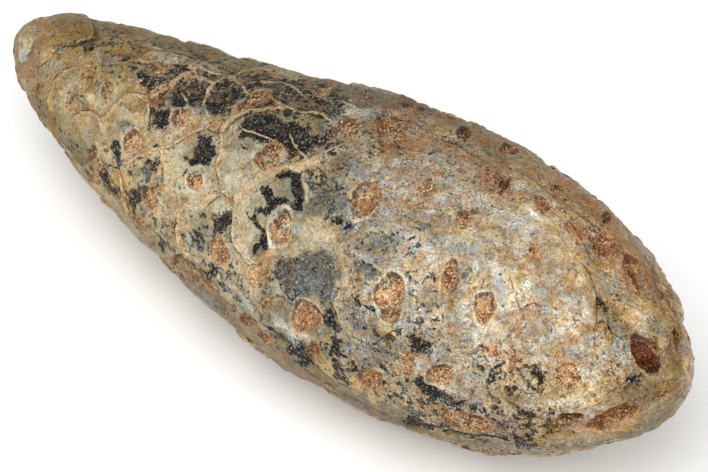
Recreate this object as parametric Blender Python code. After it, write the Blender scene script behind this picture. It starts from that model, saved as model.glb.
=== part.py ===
# Fossil cycad seed cone, one silicified piece lying on its side.
# The small end points to -X and the blunt stalk end to +X. It rests on z = 0.
# The skin is a lofted body, carved with a lattice of scales that each hold one pit.

import math

import bmesh
import bpy
import numpy as np

# Driving dimensions, in metres, degrees and plain shares.
LENGTH = 0.1126
HEIGHT_TO_WIDTH = 0.92
ORIGIN_FROM_SMALL_END = 0.0558

# Distance from the small end, and the half width there.
HALF_WIDTHS = (
    (0.0, 0.0),
    (0.0012, 0.0027),
    (0.004, 0.0048),
    (0.009, 0.0075),
    (0.017, 0.0101),
    (0.027, 0.0125),
    (0.038, 0.0148),
    (0.050, 0.0175),
    (0.062, 0.0197),
    (0.074, 0.0200),
    (0.085, 0.0189),
    (0.094, 0.0165),
    (0.101, 0.0134),
    (0.1065, 0.0094),
    (0.1105, 0.0057),
    (LENGTH, 0.0),
)
# Distance from the small end, and how far the centre line bows to +Y there.
SIDE_BOW = (
    (0.0, 0.0072),
    (0.004, 0.0057),
    (0.009, 0.0047),
    (0.017, 0.0037),
    (0.038, 0.0012),
    (0.074, 0.0),
    (0.094, -0.0001),
    (LENGTH, 0.0009),
)
# The centre line climbs gently from the small end to the blunt end.
CENTRE_HEIGHTS = (
    (0.0, 0.0132),
    (0.040, 0.0156),
    (0.080, 0.0180),
    (LENGTH, 0.0190),
)

# Scales stand in rings of eight, each ring half a scale round from the last.
# A ring lies this share of the local half width from the next, so scales grow with the body.
SCALES_IN_RING = 8
RING_STEP = 0.45
RING_ZERO = 0.0605
LATTICE_TURN = 2.5
FIRST_RING = -9
LAST_RING = 5
# A pit sits behind the middle of its scale, by this share of the scale.
PIT_SET_BACK = 0.15
PIT_WANDER = 0.09
# Scales overlap towards the small end: their free edges bow out by this share and waver.
EDGE_BOW = 0.13
EDGE_WAVER = 0.07

# Heights over the smooth body are for the widest part, and shrink with the half width.
SKIN_SET_BACK = 0.00020
FIELD_DOME = 0.00040
FIELD_TILT = 0.00035
LIP_HEIGHT = 0.00030
LIP_HALF_WIDTH = 0.055
GUTTER_DEPTH = 0.00035
# Weathering has lowered the edges on the blunt half to this share.
BLUNT_HALF_EDGES = 0.45
PIT_HALF_WIDTH = 0.0017
PIT_DEPTH = 0.0014
PIT_RIM = 0.00025
LUMP_HEIGHT = 0.00014
LUMP_COUNT = 18

# A thin outer plate stops short of the blunt end, and the pits past it are larger.
PLATE_STEP = 0.0007
PLATE_EDGE = 0.1035
PLATE_EDGE_SWING = 0.0045
PLATE_SCALLOP = 0.0007
PLATE_SCALLOPS = 7
LAYER_EDGES = (0.1085, 0.1105)
LAYER_STEP = 0.0003
# Distance from the small end, degrees round from the top, half length, half width, depth.
END_PITS = (
    (0.1073, 17.0, 0.0026, 0.0017, 0.0026),
    (0.1069, 88.0, 0.0036, 0.0011, 0.0020),
    (0.1080, -38.0, 0.0024, 0.0008, 0.0012),
    (0.1066, -84.0, 0.0021, 0.0014, 0.0018),
    (0.1072, -137.0, 0.0024, 0.0013, 0.0020),
    (0.1064, 139.0, 0.0022, 0.0015, 0.0016),
    (0.1078, 178.0, 0.0020, 0.0012, 0.0016),
)

# A flake still caps the small end, widest on top.
CAP_STEP = 0.0006
CAP_EDGE = 0.0060
CAP_REACH = 0.0085
CAP_SPREAD = 42.0

# The skin is worn smooth round the spot that it rests on.
REST_MIDDLE = 0.0680
REST_HALF_LENGTH = 0.0210
REST_SPREAD = 38.0

RINGS = 300
SIDES = 288
FACETS = 9700
SEED = 8

STONE_COLOUR = (0.46, 0.37, 0.25, 1.0)
STONE_ROUGHNESS = 0.62

WIDEST = max(width for _, width in HALF_WIDTHS)
COLUMN_TURN = 180.0 / SCALES_IN_RING


def clear_scene():
    for item in list(bpy.data.objects):
        bpy.data.objects.remove(item, do_unlink=True)


def along_angle(distance):
    # Steps of this angle are close together at both ends, where the body rounds off.
    share = np.clip(np.asarray(distance) / LENGTH, 0.0, 1.0)
    return np.arccos(1.0 - 2.0 * share)


def curve_through(stations, distance):
    # A smooth curve through the stations that never swings past them.
    at = along_angle([station[0] for station in stations])
    value = np.array([station[1] for station in stations])
    rise = np.diff(value) / np.diff(at)
    slope = np.empty_like(value)
    slope[0] = rise[0]
    slope[-1] = rise[-1]
    turning = rise[:-1] * rise[1:] <= 0.0
    mean = 2.0 * rise[:-1] * rise[1:] / np.where(turning, 1.0, rise[:-1] + rise[1:])
    slope[1:-1] = np.where(turning, 0.0, mean)
    angle = along_angle(distance)
    piece = np.clip(np.searchsorted(at, angle) - 1, 0, len(at) - 2)
    width = at[piece + 1] - at[piece]
    part = (angle - at[piece]) / width
    from_start = value[piece] * (1.0 + 2.0 * part) * (1.0 - part) ** 2
    from_start += slope[piece] * width * part * (1.0 - part) ** 2
    from_end = value[piece + 1] * part**2 * (3.0 - 2.0 * part)
    from_end += slope[piece + 1] * width * part**2 * (part - 1.0)
    return from_start + from_end


def smooth_step(low, high, value):
    part = np.clip((value - low) / (high - low), 0.0, 1.0)
    return part * part * (3.0 - 2.0 * part)


def ring_position(distance):
    # Counts rings from RING_ZERO; a ring is RING_STEP of the half width long.
    fine = np.linspace(0.0, LENGTH, 4000)
    width = np.maximum(curve_through(HALF_WIDTHS, fine), 0.0008)
    count = np.cumsum(np.full_like(fine, fine[1]) / width) / RING_STEP
    count -= np.interp(RING_ZERO, fine, count)
    return np.interp(distance, fine, count)


def turn_between(degrees, other):
    return (degrees - other + 180.0) % 360.0 - 180.0


def oval_pit(sideways, lengthways, depth, rim):
    # A bowl with steep sides and a low lip, from its two distances in pit half widths.
    reach = np.hypot(sideways, lengthways)
    bowl = smooth_step(1.15, 0.55, reach)
    lip = np.exp(-(((reach - 1.3) / 0.25) ** 2))
    return rim * lip - depth * bowl


def bowed(share_along, share_across):
    # Moves an edge out in the middle of its run and leaves its corners.
    return share_along + EDGE_BOW * (1.0 + np.cos(2.0 * math.pi * share_across)) / 2.0


def scale_relief(ring, column):
    # ring and column step by one; a scale's pit is where both are whole and their sum is even.
    one = (ring + column) / 2.0 + PIT_SET_BACK
    other = (ring - column) / 2.0
    one, other = bowed(one, other), bowed(other, one)
    # Shares run from -0.5 at the free edges to 0.5 at those that the next scales cover.
    one_share = one - np.round(one)
    other_share = other - np.round(other)
    to_free_edge = 0.5 + np.minimum(one_share, other_share)
    to_covered_edge = 0.5 - np.maximum(one_share, other_share)
    dome = np.cos(math.pi * one_share) * np.cos(math.pi * other_share)
    lip = np.exp(-(((to_free_edge - LIP_HALF_WIDTH) / LIP_HALF_WIDTH) ** 2))
    gutter = np.exp(-((to_covered_edge / LIP_HALF_WIDTH) ** 2))
    edges = LIP_HEIGHT * lip - GUTTER_DEPTH * gutter
    edges -= FIELD_TILT * (one_share + other_share)
    edges *= 1.0 - (1.0 - BLUNT_HALF_EDGES) * smooth_step(-1.0, 3.0, ring)
    return FIELD_DOME * dome - SKIN_SET_BACK + edges


def scale_pits(ring, column, chance):
    # Each scale's own pit, a little off its place and with its own size and turn.
    relief = np.zeros_like(ring)
    columns = 2 * SCALES_IN_RING
    unit_along = RING_STEP * WIDEST
    unit_round = math.radians(COLUMN_TURN) * WIDEST
    for ring_number in range(FIRST_RING, LAST_RING + 1):
        for column_number in range(ring_number % 2, columns, 2):
            wander = chance.uniform(-PIT_WANDER, PIT_WANDER, 2)
            size = PIT_HALF_WIDTH * chance.uniform(0.7, 1.15)
            longer = chance.uniform(1.1, 1.6)
            turn = math.radians(chance.uniform(50.0, 120.0))
            along = (ring - ring_number - wander[0]) * unit_along
            gap = (column - column_number - wander[1] + SCALES_IN_RING) % columns
            around = (gap - SCALES_IN_RING) * unit_round
            lengthways = (along * math.cos(turn) + around * math.sin(turn)) / (size * longer)
            sideways = (around * math.cos(turn) - along * math.sin(turn)) / size
            relief += oval_pit(sideways, lengthways, PIT_DEPTH, PIT_RIM)
    return relief


def end_pits(distance, degrees, half_width):
    relief = np.zeros_like(distance)
    for place, turn, half_length, half_breadth, depth in END_PITS:
        around = np.radians(turn_between(degrees, turn)) * half_width
        along = distance - place
        relief += oval_pit(along / half_breadth, around / half_length, depth, 0.0)
    return relief


def broad_lumps(distance, degrees, chance):
    relief = np.zeros_like(distance)
    for _ in range(LUMP_COUNT):
        waves_along = chance.uniform(1.0, 9.0)
        waves_around = chance.integers(1, 9)
        phase = chance.uniform(0.0, 2.0 * math.pi)
        turn = 2.0 * math.pi * waves_along * distance / LENGTH
        relief += np.sin(turn + waves_around * np.radians(degrees) + phase)
    return LUMP_HEIGHT * relief / math.sqrt(LUMP_COUNT / 2.0)


def end_ledges(distance, degrees):
    # The outer plate stands over the blunt end, and two thinner layers peel past it.
    around = np.radians(degrees)
    edge = PLATE_EDGE + PLATE_EDGE_SWING * np.cos(around)
    edge += PLATE_SCALLOP * np.sin(PLATE_SCALLOPS * around)
    relief = -PLATE_STEP * smooth_step(-0.0002, 0.0006, distance - edge)
    for layer in LAYER_EDGES:
        wavy = layer + 0.0005 * np.sin(3.0 * around + 1000.0 * layer)
        relief -= LAYER_STEP * smooth_step(-0.0002, 0.0005, distance - wavy)
    return relief


def tip_cap(distance, degrees):
    edge = CAP_EDGE + CAP_REACH * np.exp(-((turn_between(degrees, 0.0) / CAP_SPREAD) ** 2))
    near = smooth_step(0.026, 0.015, distance)
    return CAP_STEP * (smooth_step(0.0004, -0.0004, distance - edge) - 0.5 * near)


def skin_relief(distance, degrees, half_width):
    chance = np.random.default_rng(SEED)
    ring = ring_position(distance)
    column = turn_between(degrees, LATTICE_TURN) / COLUMN_TURN
    size = half_width / WIDEST
    body = smooth_step(FIRST_RING - 0.5, FIRST_RING + 1.0, ring)
    body *= smooth_step(LAST_RING + 1.2, LAST_RING + 0.2, ring)
    around = np.radians(degrees)
    waver_along = np.sin(3.0 * around + 1.3 * ring) + np.sin(5.0 * around - 0.8 * ring)
    waver_round = np.sin(2.0 * around + 1.9 * ring) + np.sin(1.1 * ring + 1.0)
    wavy_ring = ring + EDGE_WAVER * waver_along
    wavy_column = column + EDGE_WAVER * waver_round
    relief = body * size * scale_relief(wavy_ring, wavy_column)
    relief += size * scale_pits(ring, column, chance)
    relief += broad_lumps(distance, degrees, chance)
    relief += end_pits(distance, degrees, half_width)
    relief += end_ledges(distance, degrees) + tip_cap(distance, degrees)
    from_bottom = turn_between(degrees, 180.0) / REST_SPREAD
    from_middle = (distance - REST_MIDDLE) / REST_HALF_LENGTH
    return relief * smooth_step(0.55, 1.0, np.hypot(from_bottom, from_middle))


def body_point(distance, degrees):
    # Degrees count from the top of the body, down its -Y side.
    half_width = curve_through(HALF_WIDTHS, distance)
    around = np.radians(degrees)
    across = curve_through(SIDE_BOW, distance) - half_width * np.sin(around)
    rise = HEIGHT_TO_WIDTH * half_width * np.cos(around)
    height = curve_through(CENTRE_HEIGHTS, distance) + rise
    return np.stack([distance - ORIGIN_FROM_SMALL_END, across, height], axis=-1)


def carved_points():
    # Rings of points between the poles, each moved along the smooth body's own normal.
    angle = np.linspace(0.0, math.pi, RINGS + 2)
    distance = LENGTH * (1.0 - np.cos(angle)) / 2.0
    degrees = np.arange(SIDES) * 360.0 / SIDES
    grid_distance, grid_degrees = np.meshgrid(distance, degrees, indexing="ij")
    smooth = body_point(grid_distance, grid_degrees)
    along = np.gradient(smooth, axis=0)
    around = np.roll(smooth, -1, axis=1) - np.roll(smooth, 1, axis=1)
    normal = np.cross(around, along)
    normal[0] = (-1.0, 0.0, 0.0)
    normal[-1] = (1.0, 0.0, 0.0)
    normal /= np.linalg.norm(normal, axis=-1, keepdims=True)
    half_width = curve_through(HALF_WIDTHS, grid_distance)
    relief = skin_relief(grid_distance, grid_degrees, half_width)
    relief[0] = relief[0].mean()
    relief[-1] = relief[-1].mean()
    return smooth + normal * relief[..., None]


def skin_mesh():
    points = carved_points()
    form = bmesh.new()
    small_end = form.verts.new(points[0, 0])
    blunt_end = form.verts.new(points[-1, 0])
    rings = []
    for row in points[1:-1]:
        rings.append([form.verts.new(point) for point in row])
    for side in range(SIDES):
        after = (side + 1) % SIDES
        form.faces.new((small_end, rings[0][side], rings[0][after]))
        form.faces.new((blunt_end, rings[-1][after], rings[-1][side]))
        for near, far in zip(rings[:-1], rings[1:]):
            form.faces.new((near[side], far[side], far[after], near[after]))
    bmesh.ops.recalc_face_normals(form, faces=form.faces)
    mesh = bpy.data.meshes.new("seed_cone_skin")
    form.to_mesh(mesh)
    form.free()
    return mesh


def faceted(mesh):
    # Keeps facets where the skin bends most, as round the pits, seams and ledges.
    whole = bpy.data.objects.new("seed_cone_fine", mesh)
    bpy.context.scene.collection.objects.link(whole)
    fewer = whole.modifiers.new("facets", "DECIMATE")
    triangles = 2 * SIDES * RINGS
    fewer.ratio = FACETS / triangles
    evaluated = whole.evaluated_get(bpy.context.evaluated_depsgraph_get())
    plain = bpy.data.meshes.new_from_object(evaluated)
    bpy.data.objects.remove(whole, do_unlink=True)
    return plain


def cut_resting_spot(mesh):
    # The belly is cut off level at z = 0 and the cut is closed with one flat face.
    form = bmesh.new()
    form.from_mesh(mesh)
    everything = form.verts[:] + form.edges[:] + form.faces[:]
    cut = bmesh.ops.bisect_plane(
        form,
        geom=everything,
        dist=0.00005,
        plane_co=(0.0, 0.0, 0.0),
        plane_no=(0.0, 0.0, -1.0),
        clear_outer=True,
    )
    rim = [item for item in cut["geom_cut"] if isinstance(item, bmesh.types.BMEdge)]
    bmesh.ops.holes_fill(form, edges=rim, sides=0)
    for vertex in form.verts:
        if abs(vertex.co.z) < 0.00006:
            vertex.co.z = 0.0
    bmesh.ops.triangulate(form, faces=form.faces[:])
    bmesh.ops.recalc_face_normals(form, faces=form.faces)
    form.to_mesh(mesh)
    form.free()


def stone_material():
    stone = bpy.data.materials.new("silicified_cone")
    stone.use_nodes = True
    shader = stone.node_tree.nodes["Principled BSDF"]
    shader.inputs["Base Color"].default_value = STONE_COLOUR
    shader.inputs["Roughness"].default_value = STONE_ROUGHNESS
    shader.inputs["Metallic"].default_value = 0.0
    return stone


def build():
    clear_scene()
    mesh = faceted(skin_mesh())
    cut_resting_spot(mesh)
    mesh.name = "seed_cone"
    mesh.materials.append(stone_material())
    cone = bpy.data.objects.new("seed_cone", mesh)
    bpy.context.scene.collection.objects.link(cone)


build()
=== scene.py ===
import math
import bmesh
import bpy
import numpy as np
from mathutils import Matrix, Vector


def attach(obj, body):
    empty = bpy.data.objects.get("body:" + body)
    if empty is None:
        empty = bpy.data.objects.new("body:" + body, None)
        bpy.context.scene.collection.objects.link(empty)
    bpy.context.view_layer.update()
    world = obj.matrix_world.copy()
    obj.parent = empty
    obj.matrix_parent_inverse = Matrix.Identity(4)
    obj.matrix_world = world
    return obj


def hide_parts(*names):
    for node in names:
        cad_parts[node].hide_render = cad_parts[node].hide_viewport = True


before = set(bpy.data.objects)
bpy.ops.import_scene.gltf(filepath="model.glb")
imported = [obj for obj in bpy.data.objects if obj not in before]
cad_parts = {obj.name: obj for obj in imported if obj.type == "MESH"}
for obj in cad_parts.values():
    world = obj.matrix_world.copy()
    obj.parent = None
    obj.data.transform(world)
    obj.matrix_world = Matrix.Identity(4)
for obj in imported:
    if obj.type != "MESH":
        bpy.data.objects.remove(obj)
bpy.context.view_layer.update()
print("frame loaded:", sorted(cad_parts))

# Camera: azimuth and elevation in degrees, lengths in metres, lens and sensor in millimetres
photoView = {
    "azimuth": 37.0,
    "elevation": 45.0,
    "distance": 0.520,
    "target": (0.0038, 0.0024, 0.0140),
    "lens": 205.3,
    "sensor": 36.0,
    "imageWidth": 708,
    "imageHeight": 472,
    "pixelsPerMillimetre": 7.2,
}

turn = math.radians(photoView["azimuth"])
climb = math.radians(photoView["elevation"])
viewBack = np.array((
    math.sin(turn) * math.cos(climb),
    -math.cos(turn) * math.cos(climb),
    math.sin(climb),
))
viewRight = np.array((math.cos(turn), math.sin(turn), 0.0))
viewUp = np.cross(viewBack, viewRight)
cameraPlace = np.array(photoView["target"]) + viewBack * photoView["distance"]
focalPixels = photoView["lens"] / photoView["sensor"] * photoView["imageWidth"]


def makeCamera():
    camera = bpy.data.objects.new("photo_camera", bpy.data.cameras.new("photo_camera"))
    camera.data.lens = photoView["lens"]
    camera.data.sensor_width = photoView["sensor"]
    camera.data.clip_start = 0.01
    camera.location = cameraPlace
    camera.rotation_mode = "QUATERNION"
    camera.rotation_quaternion = Vector(-viewBack).to_track_quat("-Z", "Y")
    bpy.context.scene.collection.objects.link(camera)
    bpy.context.scene.camera = camera


def photoPixels(points):
    # Where points land in the 708 x 472 picture
    away = points - cameraPlace
    depth = -(away @ viewBack)
    across = photoView["imageWidth"] / 2 + focalPixels * (away @ viewRight) / depth
    down = photoView["imageHeight"] / 2 - focalPixels * (away @ viewUp) / depth
    return across, down


makeCamera()
print("camera set")


# The worn form under the scales, the same stations as the solid, in metres
coneForm = {
    "length": 0.1126,
    "heightToWidth": 0.92,
    "originFromSmallEnd": 0.0558,
    "halfWidths": (
        (0.0, 0.0), (0.0012, 0.0027), (0.004, 0.0048), (0.009, 0.0075),
        (0.017, 0.0101), (0.027, 0.0125), (0.038, 0.0148), (0.050, 0.0175),
        (0.062, 0.0197), (0.074, 0.0200), (0.085, 0.0189), (0.094, 0.0165),
        (0.101, 0.0134), (0.1065, 0.0094), (0.1105, 0.0057), (0.1126, 0.0),
    ),
    "sideBow": (
        (0.0, 0.0072), (0.004, 0.0057), (0.009, 0.0047), (0.017, 0.0037),
        (0.038, 0.0012), (0.074, 0.0), (0.094, -0.0001), (0.1126, 0.0009),
    ),
    "centreHeights": ((0.0, 0.0132), (0.040, 0.0156), (0.080, 0.0180), (0.1126, 0.0190)),
    "rings": 380,
    "sides": 256,
    "shownTurn": 45.0,  # the side with the closest mesh, in degrees from the top
    "shownCrowding": 0.34,
    "shownFade": 0.14,  # how squarely a place must face the camera to count as shown
    "outlineSamples": 6000,
}
widest = max(width for _, width in coneForm["halfWidths"])


def alongAngle(distance):
    share = np.clip(np.asarray(distance) / coneForm["length"], 0.0, 1.0)
    return np.arccos(1.0 - 2.0 * share)


def curveThrough(stations, distance):
    # A smooth curve through the stations that never swings past them
    at = alongAngle([station[0] for station in stations])
    value = np.array([station[1] for station in stations])
    rise = np.diff(value) / np.diff(at)
    slope = np.empty_like(value)
    slope[0] = rise[0]
    slope[-1] = rise[-1]
    turning = rise[:-1] * rise[1:] <= 0.0
    mean = 2.0 * rise[:-1] * rise[1:] / np.where(turning, 1.0, rise[:-1] + rise[1:])
    slope[1:-1] = np.where(turning, 0.0, mean)
    angle = alongAngle(distance)
    piece = np.clip(np.searchsorted(at, angle) - 1, 0, len(at) - 2)
    width = at[piece + 1] - at[piece]
    part = (angle - at[piece]) / width
    fromStart = value[piece] * (1.0 + 2.0 * part) * (1.0 - part) ** 2
    fromStart += slope[piece] * width * part * (1.0 - part) ** 2
    fromEnd = value[piece + 1] * part**2 * (3.0 - 2.0 * part)
    fromEnd += slope[piece + 1] * width * part**2 * (part - 1.0)
    return fromStart + fromEnd


def smoothStep(low, high, value):
    part = np.clip((value - low) / (high - low), 0.0, 1.0)
    return part * part * (3.0 - 2.0 * part)


def turnBetween(degrees, other):
    return (degrees - other + 180.0) % 360.0 - 180.0


def formPoint(distance, degrees):
    # Degrees count from the top, down the -Y side
    halfWidth = curveThrough(coneForm["halfWidths"], distance)
    around = np.radians(degrees)
    across = curveThrough(coneForm["sideBow"], distance) - halfWidth * np.sin(around)
    height = curveThrough(coneForm["centreHeights"], distance)
    height = height + coneForm["heightToWidth"] * halfWidth * np.cos(around)
    return np.stack([distance - coneForm["originFromSmallEnd"], across, height], axis=-1)


def evenDistances(count):
    # Ring places at even steps along the outline, both poles included
    angle = np.linspace(0.0, math.pi, coneForm["outlineSamples"])
    distance = coneForm["length"] * (1.0 - np.cos(angle)) / 2.0
    width = curveThrough(coneForm["halfWidths"], distance)
    run = np.concatenate([[0.0], np.cumsum(np.hypot(np.diff(distance), np.diff(width)))])
    return np.interp(np.linspace(0.0, run[-1], count), run, distance)


def skinGrid():
    # Every ring and side of the skin, with its pole rings kept as whole rows
    distance = evenDistances(coneForm["rings"] + 2)
    even = np.arange(coneForm["sides"]) * 2.0 * math.pi / coneForm["sides"]
    shown = math.radians(coneForm["shownTurn"])
    degrees = np.degrees(even - coneForm["shownCrowding"] * np.sin(even - shown))
    gridDistance, gridDegrees = np.meshgrid(distance, degrees, indexing="ij")
    points = formPoint(gridDistance, gridDegrees)
    along = np.gradient(points, axis=0)
    around = np.roll(points, -1, axis=1) - np.roll(points, 1, axis=1)
    outward = np.cross(around, along)
    outward[0] = (-1.0, 0.0, 0.0)
    outward[-1] = (1.0, 0.0, 0.0)
    outward /= np.linalg.norm(outward, axis=-1, keepdims=True)
    return gridDistance, gridDegrees, points, outward


gridDistance, gridDegrees, gridPoints, gridOutward = skinGrid()
gridAcross, gridDown = photoPixels(gridPoints)
toCamera = cameraPlace - gridPoints
toCamera /= np.linalg.norm(toCamera, axis=-1, keepdims=True)
facing = (gridOutward * toCamera).sum(axis=-1)
shownShare = smoothStep(0.0, coneForm["shownFade"], facing)
sizeShare = curveThrough(coneForm["halfWidths"], gridDistance) / widest
print("skin grid:", gridDistance.shape)


# Pits in the picture: x, y, half length, half breadth, tilt in degrees, depth in millimetres,
# redness of the filling from 0 to 1, and how pale the rim round it is
shownPits = (
    (107.5, 90.5, 9, 5, 55, 0.5, 0.3, 0.7), (90, 73, 8.5, 5, 25, 0.2, 0.3, 0.2),
    (131, 142, 12, 6.5, 72, 0.6, 0.4, 0.6), (181, 118, 11, 7, 40, 0.6, 0.3, 0.45),
    (161, 69, 10, 4.5, 28, 0.35, 0.4, 0.5), (68, 105, 6, 3.5, 70, 0.25, 0.4, 0.3),
    (92, 153, 7, 4.5, 70, 0.5, 0.5, 0.3), (252, 100, 17, 5, 27, 0.6, 0.4, 0.7),
    (268, 157, 15, 9.5, 47, 0.8, 0.5, 0.6), (195.5, 182, 9, 7.5, 80, 0.6, 0.3, 0.9),
    (324, 89, 9, 5, 20, 0.4, 0.4, 0.5), (349, 129, 10, 10, 0, 0.7, 0.4, 0.7),
    (333, 132, 5, 3.5, 60, 0.6, 0.7, 0.3), (364, 96, 5, 3.5, 10, 0.2, 0.5, 0.1),
    (391, 130, 12, 11, 0, 0.12, 0.3, 0.0), (365, 199, 19, 12.5, 52, 0.9, 0.6, 0.5),
    (410, 106, 10, 3, -15, 0.4, 0.7, 0.1), (149, 199, 11.5, 7, 108, 0.6, 0.6, 0.5),
    (219, 251.5, 14.5, 9.5, 97, 0.3, 0.5, 0.6), (281, 229, 18.5, 10, 68, 0.8, 0.4, 1.0),
    (176, 261, 7, 4, 60, 0.6, 0.9, 0.2), (259, 275, 12, 9, 20, 0.12, 0.2, 0.1),
    (265, 304, 7, 5, 10, 0.12, 0.3, 0.1), (305.5, 317, 16.5, 15, 90, 0.6, 0.55, 0.7),
    (390, 299, 27, 14.5, 82, 0.9, 0.35, 1.0), (463, 219, 10, 7, 75, 0.6, 0.4, 0.2),
    (451, 277, 17, 8, 82, 0.5, 0.45, 0.6), (485, 308, 17, 11, 80, 0.7, 0.35, 0.9),
    (465, 132, 8, 6, -10, 0.8, 0.6, 0.3), (508, 150, 8, 5, -25, 0.6, 0.7, 0.2),
    (542, 204, 9, 6, -40, 0.4, 0.8, 0.05), (557, 187, 5, 3.5, -10, 0.4, 0.1, 0.0),
    (606, 218, 4.5, 4, 90, 0.6, 1.0, 0.0), (603, 245, 10, 9, 90, 0.4, 0.6, 0.05),
    (634, 272, 19, 7, -62, 0.8, 0.8, 0.2), (534, 254, 8.5, 5.5, 10, 0.2, 0.5, 0.1),
    (248, 321, 8, 6, -40, 0.5, 0.8, 0.1), (265, 339, 8, 5, -35, 0.5, 0.8, 0.1),
    (313, 352, 8.5, 7, 90, 0.6, 0.6, 0.3), (369, 380, 11.5, 11.5, 0, 0.7, 0.7, 0.5),
    (441, 376, 14, 11, 0, 0.7, 0.35, 0.8), (408, 356, 6, 6, 0, 0.2, 0.3, 0.1),
    (408, 370, 7, 8, 0, 0.2, 0.4, 0.1), (495, 352, 5, 4, 0, 0.25, 0.6, 0.1),
    (457, 421, 16, 9, -20, 0.45, 0.5, 0.2), (482, 427, 16, 9, -18, 0.5, 0.6, 0.2),
    (512, 363, 13, 4, 80, 0.2, 0.4, 0.1), (567, 376, 14, 13, 0, 0.12, 0.3, 0.1),
    (648, 354, 21.5, 13.5, -52, 1.9, 0.9, 0.5), (613, 423, 27, 8, 22, 1.1, 0.8, 0.2),
    (563, 430, 20, 5, 3, 0.6, 0.6, 0.1), (571, 421, 12, 3, 10, 0.8, 1.0, 0.0),
    (681, 331, 8, 2.5, -65, 0.6, 0.9, 0.1), (427, 187, 9, 9, 0, 0.12, 0.2, 0.1),
)

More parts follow.
